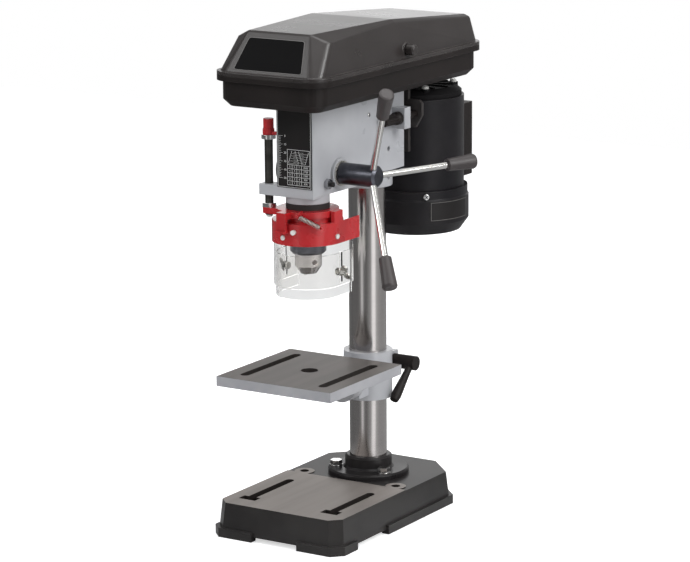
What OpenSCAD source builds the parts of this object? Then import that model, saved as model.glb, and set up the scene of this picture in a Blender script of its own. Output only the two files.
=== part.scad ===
// Benchtop pillar drill with a five-step belt drive, rack-fed quill, chuck guard and tilting table.
// +Z is up and +Y is the back. The origin is midway between the two bench bolts, on the bench.

/* [Base] */
// Width of the base across its top
base_w = 171; // [164:1:182]
// Column axis to the front edge of the base
base_front = 209; // [200:1:225]
// Column axis to the rear edge of the base
base_back = 80; // [74:1:92]
// Height of the base
base_h = 42; // [38:1:48]
// Outward lean of the base sides, top to foot
base_flare = 3.5; // [2:0.5:6]
// Wall of the base casting
base_wall = 7; // [6:0.5:9]
// Chamfer across each rear corner of the base
rear_chamfer = 36; // [28:1:40]
// Chamfer across each front corner of the base
front_chamfer = 13; // [8:1:18]
// Height of the machined pad above the painted rear part
pad_rise = 1; // [0.5:0.5:2]
// Height of the lip round each foot
foot_h = 11; // [8:1:14]
// Height of the cut-outs between the feet
foot_cut = 5.5; // [4:0.5:7]
// Distance between the two bench bolt holes
bolt_spacing = 132; // [126:1:138]
// Diameter of the bench bolt holes
bolt_hole_d = 11; // [9:0.5:13]
// Line of the bench bolts to the column axis
bolt_to_column = 44; // [42:1:50]
// Distance between the two slots in the base
base_slot_gap = 116; // [108:1:122]
// Width of the slots in the base
base_slot_w = 11; // [9:0.5:13]
// Length of the slots in the base
base_slot_len = 100; // [80:1:106]

/* [Column] */
// Diameter of the column
column_d = 46; // [44:0.5:48]
// Wall of the column tube
column_wall = 3; // [2.5:0.5:4]
// Diameter of the column flange
flange_d = 100; // [96:1:106]
// Thickness of the column flange
flange_t = 7; // [6:0.5:9]

/* [Table] */
// Side of the square table
table_w = 160; // [150:1:170]
// Thickness of the table at its edge
table_t = 12; // [11:0.5:14]
// Height of the table's top above the bench
table_z = 198; // [180:1:210]
// Diameter of the hole in the middle of the table
table_hole_d = 21; // [16:0.5:26]
// Distance between the two slots in the table
table_slot_gap = 110; // [100:1:116]
// Width of the slots in the table
table_slot_w = 11.5; // [9:0.5:13]
// Length of the slots in the table
table_slot_len = 123; // [100:1:128]
// Length of the table bracket's collar along the column
collar_h = 59; // [54:1:64]

/* [Head] */
// Column axis to the spindle axis
throat = 133; // [131:1:136]
// Height of the head's underside above the bench
head_z = 414; // [400:1:425]
// Height of the head
head_h = 110; // [108:1:114]
// Width of the head at its front
head_w = 50; // [49:0.5:54]
// Spindle axis to the head's front face
head_nose = 27.5; // [27:0.5:30]
// Diameter of the quill
quill_d = 40; // [39:0.5:41]
// Travel of the quill
quill_travel = 50; // [44:1:50]
// Teeth on the feed pinion
pinion_teeth = 14; // [14:1:15]
// Module of the feed pinion
pinion_module = 1.25; // [1.15:0.05:1.25]

/* [Feed handle] */
// Diameter of the feed hub
hub_d = 26; // [25:0.5:30]
// Length of the feed hub
hub_l = 50; // [46:1:54]
// Diameter of the lever rods
lever_d = 8; // [7:0.5:9]
// Length of a lever from the hub's axis to the end of its grip
lever_l = 146; // [135:1:155]
// Outward lean of the levers
lever_lean = 25.5; // [23:0.5:27]
// Diameter of the grips at their outer end
grip_d = 18.5; // [16:0.5:20]
// Length of the grips
grip_l = 40; // [34:1:46]

/* [Belt cover] */
// Width of the cover at its rim
cover_w = 154; // [150:1:160]
// Column axis to the front of the cover's rim
cover_front = 225; // [220:1:232]
// Column axis to the rear of the cover's rim
cover_back = 160; // [158:1:166]
// Height of the lower cover
tub_h = 37; // [35:1:40]
// Height of the lid above the lower cover's rim
lid_h = 51; // [49:1:56]
// Wall of the cover mouldings
cover_wall = 2.5; // [2:0.25:3]

/* [Motor] */
// Column axis to the motor axis
motor_offset = 116; // [114:0.5:118]
// Diameter of the motor housing
motor_d = 120; // [114:1:122]
// Length of the motor housing
motor_l = 113; // [105:1:116]
// Diameter of the fan cover
fan_d = 132; // [128:1:136]
// Height of the fan cover
fan_h = 55; // [50:1:60]

/* [Chuck guard] */
// Radius of the red guard band
guard_r = 43; // [42.5:0.25:43.5]
// Height of the red guard band
band_h = 26; // [24:1:28]
// Thickness of the clear shields
shield_t = 2; // [1.5:0.25:2.25]

/* [Hidden] */

$fn = 64;
thin = 0.01;          // hairline between neighbouring faces of one body
run_gap = 0.05;       // radial gap of a shaft, pin or slide in its bore
press_gap = 0.02;     // radial gap of pieces fixed to each other
loose_gap = 0.3;      // gap between neighbours that never touch
face_gap = 0.1;       // gap between flat faces that turn on each other

// Main axes and heights
column_y = bolt_to_column;
spindle_y = column_y - throat;
motor_y = column_y + motor_offset;
column_r = column_d / 2;
quill_r = quill_d / 2;
base_top = base_h - pad_rise;
head_top = head_z + head_h;
rim_z = head_top + tub_h;

black_paint = "#3a3736";
black_plastic = "#46423f";
grey_paint = "#a3a6ae";
machined = "#8b837c";
steel = "#b9bbbd";
red = "#b8262c";
clear = [0.85, 0.9, 0.92, 0.35];

module at(y, z = 0) translate([0, y, z]) children();
module along_x() rotate([0, 90, 0]) children();
module along_y() rotate([-90, 0, 0]) children();
module both_sides() {
    children();
    mirror([1, 0, 0]) children();
}
module tube(outer_r, inner_r, h) difference() {
    cylinder(r = outer_r, h = h);
    translate([0, 0, -1]) cylinder(r = inner_r, h = h + 2);
}
module hex(flats, h) cylinder(d = flats / cos(30), h = h, $fn = 6);
// A vertical slot with round ends, running front to back
module slot(w, len, h) {
    for (end = [-1, 1]) at(end * (len - w) / 2) cylinder(d = w, h = h);
    translate([-w / 2, (w - len) / 2, 0]) cube([w, len - w, h]);
}

// Base casting
module base_outline(grow) {
    side = base_w / 2 + grow;
    front = base_front + grow;
    back = base_back + grow;
    translate([0, column_y]) polygon([
        [front_chamfer - side, -front], [side - front_chamfer, -front],
        [side, front_chamfer - front], [side, back - rear_chamfer],
        [side - rear_chamfer, back], [rear_chamfer - side, back],
        [-side, back - rear_chamfer], [-side, front_chamfer - front]
    ]);
}
base_band = 1;    // upright band at the top and the foot of the drafted sides
module base_taper(low, low_grow, high, high_grow) hull() {
    at(0, low) linear_extrude(base_band) base_outline(low_grow);
    at(0, high - base_band) linear_extrude(base_band) base_outline(high_grow);
}
flange_bolt_r = 4;
flange_bolt_circle = 0.8 * flange_d / 2;
flange_seat_depth = 14;
bench_boss_r = bolt_hole_d / 2 + 7;
foot_front_half = 32;     // half the width of the cut-out in the front
foot_side_len = 70;       // length of the cut-out in each side
foot_side_out = 138;
base_rib_out = 127;      // column axis to the first cross rib under the pad
foot_side_y = column_y - foot_side_out;
foot_lip = 3;
slot_head_w = 2.1 * base_slot_w;
slot_head_len = base_slot_w + 2;
base_slot_y = column_y - base_front + 24;    // front end of the slots
module flange_bolt_places() at(column_y) for (turn = [90, 210, 330])
    rotate(turn) translate([flange_bolt_circle, 0, 0]) children();
module base_foot_lips() intersection() {
    linear_extrude(foot_h) base_outline(base_flare + foot_lip);
    difference() {
        linear_extrude(foot_h) base_outline(2 * foot_lip + base_flare);
        translate([-foot_front_half, column_y - 2 * base_front, -1])
            cube([2 * foot_front_half, 4 * base_front, foot_h + 2]);
        translate([-base_w, foot_side_y - foot_side_len / 2, -1])
            cube([2 * base_w, foot_side_len, foot_h + 2]);
    }
}
// The rear part of the top is painted and a little lower, but for a round lug at each bench bolt
module base_rear_step() difference() {
    translate([-base_w, -0.7 * bench_boss_r, base_top]) cube([2 * base_w, 2 * base_back, 2 * pad_rise]);
    both_sides() translate([bolt_spacing / 2, 0, 0]) cylinder(r = bench_boss_r, h = 2 * base_h);
}
module base_casting() color(black_paint) difference() {
    union() {
        difference() {
            union() {
                base_taper(0, base_flare, base_h, 0);
                base_foot_lips();
            }
            base_taper(-1, base_flare - base_wall, base_top - base_wall, -base_wall);
        }
        both_sides() translate([bolt_spacing / 2, 0, 0]) cylinder(r = bench_boss_r, h = base_top - 1);
        at(column_y, base_top - base_wall - flange_seat_depth)
            cylinder(r = flange_bolt_circle + 2.5 * flange_bolt_r, h = base_wall + flange_seat_depth - 1);
        // two cross ribs under the pad
        for (y = [column_y - base_rib_out, column_y - base_rib_out - bolt_to_column])
            translate([base_wall / 2 - base_w / 2, y - base_wall / 2, foot_cut + 1])
                cube([base_w - base_wall, base_wall, base_top - foot_cut - 2]);
    }
    base_rear_step();
    both_sides() translate([bolt_spacing / 2, 0, -1]) cylinder(d = bolt_hole_d, h = base_h + 2);
    both_sides() translate([base_slot_gap / 2, base_slot_y, -1]) {
        at(base_slot_len / 2) slot(base_slot_w, base_slot_len, base_h + 2);
        translate([-slot_head_w / 2, 0, 0]) cube([slot_head_w, slot_head_len, base_h + 2]);
    }
    flange_bolt_places() at(0, base_top - base_wall - flange_seat_depth - 1)
        cylinder(r = flange_bolt_r + press_gap, h = base_wall + flange_seat_depth + 2);
    translate([-foot_front_half, column_y - 2 * base_front, -1])
        cube([2 * foot_front_half, 4 * base_front, foot_cut + 1]);
    translate([-base_w, foot_side_y - foot_side_len / 2, -1])
        cube([2 * base_w, foot_side_len, foot_cut + 1]);
}

// Column with its flange
flange_top = base_top + flange_t;
boss_h = 16;
boss_wall = 6;
boss_foot = 5;
column_top = head_top - 26;
module column_flange() color(black_paint) at(column_y, base_top) difference() {
    rotate_extrude() polygon([
        [column_r + press_gap, 0], [flange_d / 2, 0], [flange_d / 2, flange_t - 2],
        [flange_d / 2 - 2, flange_t], [column_r + boss_wall + boss_foot / 2, flange_t],
        [column_r + boss_wall, flange_t + boss_foot / 2],
        [column_r + boss_wall, flange_t + boss_h - 2], [column_r + boss_wall - 2, flange_t + boss_h],
        [column_r + press_gap, flange_t + boss_h]
    ]);
    for (turn = [90, 210, 330]) rotate(turn) translate([flange_bolt_circle, 0, -1])
        cylinder(r = flange_bolt_r + loose_gap, h = flange_t + 2);
}
module column_tube() color(steel) at(column_y, base_top)
    tube(column_r, column_r - column_wall, column_top - base_top);
washer_t = 1.6;
bolt_head_h = 5.5;
module flange_bolts() color(steel) flange_bolt_places() {
    at(0, base_top - base_wall) cylinder(r = flange_bolt_r, h = base_wall + flange_t + 1);
    at(0, flange_top) cylinder(r = 2 * flange_bolt_r, h = washer_t);
    at(0, flange_top + washer_t) hex(3.25 * flange_bolt_r, bolt_head_h);
}

// Table on its bracket
tilt_z = table_z - 33;
collar_wall = 7;
collar_r = column_r + collar_wall;
collar_top = table_z - 1;
arm_w = 32;
tilt_disc_r = 22;
tilt_bolt_r = 6;
table_back_y = spindle_y + table_w / 2;
tilt_face_y = table_back_y + 0.5;
lug_t = 12;
ear_w = 12;
ear_reach = 20;
clamp_y = column_y + collar_r + ear_reach / 2;
clamp_z = collar_top - 22;
clamp_r = 4;
split = 2.5;
module table_bracket() color(grey_paint) difference() {
    union() {
        at(column_y, collar_top - collar_h) cylinder(r = collar_r, h = collar_h);
        translate([-arm_w / 2, tilt_face_y + lug_t / 2, tilt_z - tilt_disc_r + 2])
            cube([arm_w, column_y - tilt_face_y - lug_t / 2, 2 * tilt_disc_r - 4]);
        at(tilt_face_y, tilt_z) along_y() cylinder(r = tilt_disc_r, h = lug_t / 2 + 2);
        translate([-ear_w - split / 2, column_y, clamp_z - ear_w])
            cube([2 * ear_w + split, collar_r + ear_reach, 2 * ear_w]);
    }
    at(column_y, collar_top - collar_h - 1) cylinder(r = column_r + run_gap, h = collar_h + 2);
    translate([-split / 2, column_y, collar_top - collar_h - 1])
        cube([split, collar_r + ear_reach + 1, collar_h + 2]);
    at(tilt_face_y - 1, tilt_z) along_y() cylinder(r = tilt_bolt_r + press_gap, h = lug_t + 6);
    at(clamp_y, clamp_z) translate([-ear_w * 2, 0, 0]) along_x()
        cylinder(r = clamp_r + run_gap, h = 4 * ear_w);
}
tilt_head_t = 7;
module tilt_bolt() color(steel) at(tilt_face_y - lug_t - face_gap, tilt_z) along_y() {
    cylinder(r = tilt_bolt_r, h = 2 * lug_t);
    at(0, -tilt_head_t - face_gap) hex(3 * tilt_bolt_r, tilt_head_t);
    at(0, -face_gap) cylinder(r = tilt_bolt_r, h = 1);
}
table_rim = 9;
table_skin = 6;
rib_t = 6;
module table_plate() color(machined) difference() {
    union() {
        difference() {
            translate([-table_w / 2, spindle_y - table_w / 2, table_z - table_t])
                cube([table_w, table_w, table_t]);
            translate([table_rim - table_w / 2, spindle_y - table_w / 2 + table_rim, table_z - table_t - 1])
                cube([table_w - 2 * table_rim, table_w - 2 * table_rim, table_t - table_skin + 1]);
        }
        translate([-rib_t / 2, spindle_y - table_w / 2 + 1, table_z - table_t])
            cube([rib_t, table_w - 2, table_t - 1]);
        translate([1 - table_w / 2, spindle_y - rib_t / 2, table_z - table_t])
            cube([table_w - 2, rib_t, table_t - 1]);
        at(spindle_y, table_z - table_t) cylinder(d = table_hole_d + 14, h = table_t - 1);
        both_sides() translate([table_slot_gap / 2, spindle_y, table_z - table_t])
            slot(table_slot_w + 8, table_slot_len + 8, table_t - 1);
        at(tilt_face_y - lug_t - face_gap, tilt_z) {
            along_y() cylinder(r = tilt_disc_r, h = lug_t);
            translate([-tilt_disc_r, 0, 0]) cube([2 * tilt_disc_r, lug_t, table_z - tilt_z - 1]);
        }
    }
    at(spindle_y, table_z - table_t - 1) cylinder(d = table_hole_d, h = table_t + 2);
    both_sides() translate([table_slot_gap / 2, spindle_y, table_z - table_t - 1])
        slot(table_slot_w, table_slot_len, table_t + 2);
    at(tilt_face_y - lug_t - 1, tilt_z) along_y() cylinder(r = tilt_bolt_r + run_gap, h = lug_t + 2);
}
lever_hub_r = 9;
lever_hub_t = 32;
clamp_handle_l = 58;
clamp_handle_r = 6.5;
clamp_handle_turn = 132;
module clamp_lever() color(black_plastic) at(clamp_y, clamp_z) {
    translate([-ear_w - split / 2 - 6, 0, 0]) along_x() cylinder(r = clamp_r, h = 2 * ear_w + split + 8);
    translate([-ear_w - split / 2 - 6, 0, 0]) along_x() hex(3.2 * clamp_r, 6 - face_gap);
    translate([ear_w + split / 2 + face_gap, 0, 0]) along_x() cylinder(r = lever_hub_r, h = lever_hub_t);
    translate([collar_r + clamp_handle_r + 2, 0, 0]) rotate([clamp_handle_turn, 0, 0])
        rotate_extrude() polygon([
            [0, 0], [0.6 * clamp_handle_r, 0], [0.7 * clamp_handle_r, clamp_handle_l / 3],
            [clamp_handle_r, clamp_handle_l - 8], [0.8 * clamp_handle_r, clamp_handle_l - 1],
            [0.5 * clamp_handle_r, clamp_handle_l], [0, clamp_handle_l]
        ]);
}

// Head casting
head_rear = 36;
head_rear_half = column_r + 8;
sleeve_drop = 11;
quill_boss_drop = 10;
quill_boss_r = quill_r + 6;
head_front_y = spindle_y - head_nose;
head_rear_y = column_y + head_rear;
function head_points(grow) = [
    [-head_w / 2 - grow, head_front_y - grow], [head_w / 2 + grow, head_front_y - grow],
    [head_rear_half + grow, column_y - 10], [head_rear_half + grow, head_rear_y + grow],
    [-head_rear_half - grow, head_rear_y + grow], [-head_rear_half - grow, column_y - 10]
];
// Feed pinion and rack
pinion_pitch_r = pinion_teeth * pinion_module / 2;
pinion_tip_r = pinion_pitch_r + pinion_module;
pinion_root_r = pinion_pitch_r - 1.15 * pinion_module;
rack_pitch = PI * pinion_module;
rack_line = quill_r - 2;
rack_crest = rack_line + 0.8 * pinion_module;
rack_root = rack_line - 1.25 * pinion_module;
rack_backlash = 0.5;
pressure = 20;
feed_y = spindle_y + rack_line + pinion_pitch_r;
feed_z = head_z + 22;
feed_boss_x = 30;
feed_boss_r = 18;
spring_boss_r = 25;
journal_r = pinion_tip_r + 0.25;
small_journal_r = 6.5;
pinion_w = 16;
// Depth stop beside the quill
rod_r = 5;
rod_x = -42.5;
rod_y = spindle_y - 18;
rod_lug_h = 13;
rod_lug_left = rod_x - rod_r - 3;
rod_lug_w = 18;
// Bearings that carry the driven pulley
sleeve_r = 10;
pulley_bearing_r = 18.5;
pulley_bearing_h = 9;
pulley_boss_r = pulley_bearing_r + 4.5;
pulley_boss_h = 6;
bearing_seat_z = head_top + pulley_boss_h - 2 * pulley_bearing_h - 7;
// Bars that the motor slides on
bar_r = 6;
bar_x = 16;
bar_z = head_top - 16;
bar_depth = 42;
motor_slide = 8;
bracket_y = head_rear_y + 10;
bracket_t = 5;
// Belt tension screw in its lug
tension_x = head_rear_half + 9;
tension_z = head_top - 38;
tension_r = 4;
lug_y = column_y + 7.5;
lug_l = 14;
lug_h = 26;
guide_z = head_z + 13;
guide_y = spindle_y;
guide_r = 3;
keyway_depth = 2.5;
set_screw_r = 3;
set_screw_z = [head_z, head_z + 35];
module head_casting() color(grey_paint) difference() {
    union() {
        intersection() {
            at(0, head_z) linear_extrude(head_h) polygon(head_points(0));
            union() {
                translate([-base_w, -base_front, head_z]) cube([2 * base_w, base_front + column_y, head_h]);
                translate([-base_w, column_y - 1, head_z + 8]) cube([2 * base_w, base_front, head_h]);
            }
        }
        at(column_y, head_z - sleeve_drop) cylinder(r = head_rear_half, h = head_h + sleeve_drop);
        at(spindle_y, head_z - quill_boss_drop) cylinder(r = quill_boss_r, h = head_h);
        at(spindle_y, head_top - 1) cylinder(r = pulley_boss_r, h = pulley_boss_h + 1);
        translate([rod_lug_left, head_front_y, head_z - 2])
            cube([head_w / 2 - rod_lug_left, rod_lug_w, rod_lug_h]);
        at(feed_y, feed_z) along_x() cylinder(r = feed_boss_r, h = feed_boss_x);
        at(feed_y, feed_z) mirror([1, 0, 0]) along_x() cylinder(r = spring_boss_r, h = feed_boss_x);
        translate([head_rear_half - 6, lug_y, tension_z - lug_h / 2])
            cube([tension_x - head_rear_half + 15, lug_l, lug_h]);
    }
    // column socket, set screws and motor slide bores
    at(column_y, head_z - sleeve_drop - 1)
        cylinder(r = column_r + press_gap, h = column_top - head_z + sleeve_drop + 1);
    for (z = set_screw_z) at(column_y, z) along_x() cylinder(r = set_screw_r + press_gap, h = 2 * head_w);
    both_sides() translate([bar_x, head_rear_y - bar_depth, bar_z]) along_y()
        cylinder(r = bar_r + run_gap, h = bar_depth + 1);
    translate([tension_x, lug_y - 1, tension_z]) along_y()
        cylinder(r = tension_r + run_gap, h = lug_l + 2);
    // quill bore with the pinion's cross bore behind it
    at(spindle_y, head_z - quill_boss_drop - 1)
        cylinder(r = quill_r + run_gap, h = bearing_seat_z - 5 - head_z + quill_boss_drop + 1);
    at(feed_y, feed_z) translate([-pinion_w / 2 - 1, 0, 0]) along_x()
        cylinder(r = journal_r + run_gap, h = 2 * feed_boss_x);
    at(feed_y, feed_z) translate([-2 * feed_boss_x, 0, 0]) along_x()
        cylinder(r = small_journal_r + run_gap, h = 2 * feed_boss_x);
    at(guide_y, guide_z) along_x() cylinder(r = guide_r + press_gap, h = head_w);
    // seats of the pulley bearings and the way through for the splined shaft
    at(spindle_y, bearing_seat_z) cylinder(r = pulley_bearing_r + press_gap, h = head_h);
    at(spindle_y, head_z) cylinder(r = sleeve_r + 3, h = head_h);
    translate([rod_x, rod_y, head_z - 3]) cylinder(r = rod_r + loose_gap, h = rod_lug_h + 2);
    tub_screw_places() at(0, head_top - tub_screw_l) cylinder(r = tub_screw_r + press_gap, h = tub_screw_l + 1);
}
guide_tip_x = quill_r - keyway_depth + loose_gap;
guide_flats = 3.7 * guide_r;
function head_half(y) = head_w / 2 + (head_rear_half - head_w / 2) * (y - head_front_y)
    / (column_y - 10 - head_front_y);
guide_face_x = head_half(guide_y + guide_flats / 2 + 1) + face_gap;
module head_screws() color(steel) {
    at(guide_y, guide_z) translate([guide_tip_x, 0, 0]) along_x()
        cylinder(r = guide_r, h = guide_face_x + 10 - guide_tip_x);
    at(guide_y, guide_z) translate([guide_face_x, 0, 0]) along_x() hex(guide_flats, 5);
    for (z = set_screw_z) at(column_y, z) translate([column_r + press_gap, 0, 0]) along_x()
        cylinder(r = set_screw_r, h = 5);
}
plate_w = head_w - 2;
plate_t = 1;
plate_low = head_z + 9.5;
module scale_plate() color("#1d1b1b")
    translate([-plate_w / 2, head_front_y - plate_t, plate_low]) cube([plate_w, plate_t, head_top - plate_low - 2]);
washer_thick = 2;
module shaft_washer() color(steel) at(feed_y, feed_z) translate([feed_boss_x, 0, 0]) along_x()
    tube(feed_boss_r - 3, journal_r + loose_gap, washer_thick);
cap_l = 18;
cap_wall = 2;
spring_turns = 5;
spring_strip = 0.7;
spring_w = 9;
spring_inner_r = small_journal_r + loose_gap + spring_strip / 2;
spring_pitch = (spring_boss_r - cap_wall - press_gap - spring_strip / 2 - spring_inner_r) / spring_turns;
module spring_cap() color(black_paint) at(feed_y, feed_z) translate([-feed_boss_x, 0, 0]) along_x()
    mirror([0, 0, 1]) difference() {
        rotate_extrude() polygon([
            [0, 0], [spring_boss_r, 0], [spring_boss_r, cap_l - 3], [spring_boss_r - 3, cap_l], [0, cap_l]
        ]);
        at(0, -1) cylinder(r = spring_boss_r - cap_wall, h = cap_l - cap_wall + 1);
    }
// Flat spiral strip, drawn as the band between two spirals
function spiral(steps, side) = [
    for (i = side > 0 ? [0 : 1 : steps] : [steps : -1 : 0])
        let (turn = 360 * spring_turns * i / steps)
        (spring_inner_r + spring_pitch * turn / 360 + side * spring_strip / 2) * [cos(turn), sin(turn)]
];
module return_spring() color("#55585c") at(feed_y, feed_z)
    translate([-feed_boss_x - (cap_l - cap_wall + spring_w) / 2, 0, 0]) along_x()
    linear_extrude(spring_w) polygon(concat(spiral(16 * spring_turns, 1), spiral(16 * spring_turns, -1)));

// Switch on the left of the head
switch_l = 56;
switch_h = 72;
switch_out = 58;
switch_y = column_y - 62;
switch_z = head_top - switch_h - 12;
button_r = 9;
button_travel = 3;
button_out = 6;
button_in = 20;
button_z = [switch_z + button_in, switch_z + switch_h - button_in];
module switch_box() color(black_plastic) difference() {
    translate([-switch_out, switch_y, switch_z]) cube([switch_out, switch_l, switch_h]);
    at(0, switch_z - 1) linear_extrude(switch_h + 2) polygon(head_points(press_gap));
    for (z = button_z) translate([-switch_out - 1, switch_y + switch_l / 2, z]) along_x()
        cylinder(r = button_r + run_gap, h = 14);
    // inlet of the mains lead, in the box's underside
    translate([-switch_out + 12, switch_y + switch_l / 2, switch_z - 1]) cylinder(r = 4.5, h = 12);
}
module push_button(z) translate([-switch_out - button_out, switch_y + switch_l / 2, z]) along_x()
    rotate_extrude() polygon([
        [0, 0.6], [button_r - 2, 0], [button_r, 1.5], [button_r, button_out + 6], [0, button_out + 6]
    ]);
module start_button() color("#2e7d3c") push_button(button_z[1]);
module stop_button() color(red) push_button(button_z[0]);

// Quill with its rack, bearings and rubber collar
quill_out = 40;
quill_in = 78;
quill_low = head_z - quill_out;
quill_high = head_z + quill_in;
bearing_r = 14;
bearing_h = 8;
spindle_r = 6;
module rack_gap() translate([-quill_r, 0, 0]) rotate([90, 0, 90]) linear_extrude(quill_d) {
    pitch_half = rack_pitch / 4 + rack_backlash / 2;
    root_half = pitch_half - (rack_line - rack_root) * tan(pressure);
    crest_half = pitch_half + (quill_r + 1 - rack_line) * tan(pressure);
    polygon([
        [rack_root, -root_half], [quill_r + 1, -crest_half], [quill_r + 1, crest_half], [rack_root, root_half]
    ]);
}
rack_low = feed_z - 3.5 * rack_pitch;
rack_high = min(feed_z + quill_travel + 2.5 * rack_pitch, quill_high + 1);
module quill_sleeve() color(steel) at(spindle_y) difference() {
    at(0, quill_low) cylinder(r = quill_r, h = quill_high - quill_low);
    at(0, quill_low - 1) cylinder(r = bearing_r - 3, h = quill_high - quill_low + 2);
    for (z = [quill_low - 1, quill_high - bearing_h - 2])
        at(0, z) cylinder(r = bearing_r + press_gap, h = bearing_h + 3);
    translate([-quill_r, rack_crest, rack_low]) cube([quill_d, quill_r, rack_high - rack_low]);
    for (z = [feed_z - 3 * rack_pitch : rack_pitch : rack_high - rack_pitch / 2]) at(0, z) rack_gap();
    translate([quill_r - keyway_depth, -guide_r - 0.2, guide_z - 6])
        cube([keyway_depth + 1, 2 * guide_r + 0.4, quill_travel + 12]);
}
module quill_bearings() color(steel) at(spindle_y)
    for (z = [quill_low + 2, quill_high - bearing_h - 2])
        at(0, z) tube(bearing_r, spindle_r + press_gap, bearing_h);
collar_ring_h = 7;
collar_ring_z = head_z - quill_boss_drop - loose_gap - collar_ring_h;
module quill_collar() color("#1f1d1d") at(spindle_y, collar_ring_z)
    tube(quill_boss_r, quill_r + press_gap, collar_ring_h);

// Guard clamp on the quill, with the depth stop rod
clamp_top = collar_ring_z - thin;
clamp_disc_t = 7.5;
clamp_disc_r = 37;
skirt_r = quill_r + 6;
web_t = 4;
band_drop = 5.7;      // band's rim below the clamp disc
ring_hub_h = web_t + band_drop;
ring_hub_r = skirt_r + 8;
retainer_t = 2.5;
ring_top = clamp_top - clamp_disc_t - face_gap;
retainer_z = ring_top - ring_hub_h - face_gap - retainer_t;
tab_turn = -99;
tab_w = 14;
tab_drop = 24;
tab_gap = 0.8;
tab_foot_t = 2.5;
peg_reach = guard_r + 7;
peg_r = 1.5;
peg_z = clamp_top - peg_r;
spring_a_turn = -72;
spring_b_turn = -39;
module guard_clamp() color(red) at(spindle_y) difference() {
    union() {
        at(0, clamp_top - clamp_disc_t) cylinder(r = clamp_disc_r, h = clamp_disc_t);
        at(0, retainer_z) cylinder(r = skirt_r, h = clamp_top - retainer_z);
        // arm that carries the depth rod
        translate([rod_x, rod_y - spindle_y, clamp_top - clamp_disc_t]) cylinder(r = 8, h = clamp_disc_t);
        translate([rod_x, rod_y - spindle_y - 8, clamp_top - clamp_disc_t]) cube([-rod_x, 16, clamp_disc_t]);
        // stop tab and spring lug
        rotate(tab_turn) translate([clamp_disc_r - 6, -tab_w / 2, clamp_top - clamp_disc_t])
            cube([peg_reach - clamp_disc_r + 4, tab_w, clamp_disc_t]);
        rotate(tab_turn) translate([guard_r + tab_gap, -tab_w / 2, clamp_top - tab_drop])
            cube([peg_reach - guard_r - 2 - tab_gap, tab_w, tab_drop]);
        rotate(tab_turn) translate([guard_r + tab_gap, -tab_w / 2, clamp_top - tab_drop])
            cube([peg_reach - guard_r + 1 - tab_gap, tab_w, tab_foot_t]);
        rotate(spring_a_turn) translate([clamp_disc_r - 6, 0, peg_z]) along_x() {
            cylinder(r = 2 * peg_r, h = peg_reach - clamp_disc_r + 2);
            cylinder(r = peg_r, h = peg_reach - clamp_disc_r + 9);
        }
    }
    at(0, 0) cylinder(r = quill_r + press_gap, h = head_z);
    translate([rod_x, rod_y - spindle_y, 0]) cylinder(r = rod_r + press_gap, h = head_z);
}
module guard_retainer() color(steel) at(spindle_y, retainer_z)
    tube(skirt_r + 4, skirt_r + press_gap, retainer_t);
rod_low = clamp_top - clamp_disc_t - 2;
rod_high = head_top - 34;
stop_gap = 3;
nut_h = 5;
lug_top = head_z - 2 + rod_lug_h;
nut_z = lug_top + quill_travel + stop_gap;
module at_rod(z) translate([rod_x, rod_y, z]) children();
module depth_rod() color("#242222") at_rod(rod_low) cylinder(r = rod_r, h = rod_high - rod_low);
pointer_h = 7;
knob_h = 12;
module depth_pointer() color(red) difference() {
    union() {
        at_rod(nut_z + nut_h) cylinder(r = rod_r + 2, h = pointer_h);
        at_rod(nut_z + nut_h) linear_extrude(pointer_h - 3) polygon([[0, -5], [14, 0], [0, 5]]);
        at_rod(nut_z + nut_h + pointer_h) cylinder(r = rod_r + 1.2, h = knob_h);
    }
    at_rod(nut_z) cylinder(r = rod_r + press_gap, h = rod_high - nut_z + thin);
}
module depth_nuts() color(steel) difference() {
    union() {
        at_rod(nut_z) cylinder(r = rod_r + 3.5, h = nut_h - thin);
        at_rod(clamp_top) hex(3.2 * rod_r, nut_h);
    }
    at_rod(0) cylinder(r = rod_r + press_gap, h = head_top);
}

// Spindle and three-jaw chuck
spline_r = 5;
spline_count = 6;
spline_w = 2.6;
spindle_high = head_top + 60;
spindle_low = quill_low - 26;
nose_r = 9.5;
taper_r = 8;
taper_end_r = 7.6;
chuck_top = quill_low - 7;
chuck_low = chuck_top - 49;
chuck_r = 16;
chuck_nose_r = 10;
chuck_cone_r = 14;
sleeve_low = chuck_top - 25;
module spline(gap) {
    circle(r = spline_r + gap);
    for (i = [0 : spline_count - 1]) rotate(360 * i / spline_count)
        translate([0, -spline_w / 2 - gap]) square([spindle_r + gap, spline_w + 2 * gap]);
}
module spindle_shaft() color(steel) at(spindle_y) {
    rotate_extrude() polygon([
        [0, spindle_low], [taper_end_r, spindle_low], [taper_r, chuck_top], [nose_r, chuck_top],
        [nose_r, quill_low + 1.9], [spindle_r, quill_low + 1.9], [spindle_r, quill_high + 2], [0, quill_high + 2]
    ]);
    at(0, quill_high + 1) intersection() {
        cylinder(r = spindle_r, h = spindle_high - quill_high - 1);
        union() {
            cylinder(r = spline_r, h = spindle_high - quill_high - 1);
            for (i = [0 : spline_count - 1]) rotate(360 * i / spline_count)
                translate([0, -spline_w / 2, 0]) cube([2 * spindle_r, spline_w, spindle_high - quill_high - 1]);
        }
    }
}
jaw_lean = 14;
jaw_r = 3;
grip_r = 3.6;
jaw_open = 5.5;
jaw_close = 7.5;
jaw_l = 20;
jaw_tip = 0.5;
jaw_foot_r = grip_r + 2;      // jaw axis from the chuck axis, at the chuck's nose
module jaw_frame(i) at(spindle_y) rotate(120 * i + 30)
    translate([jaw_foot_r, 0, chuck_low]) rotate([0, jaw_lean, 0]) children();
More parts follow.
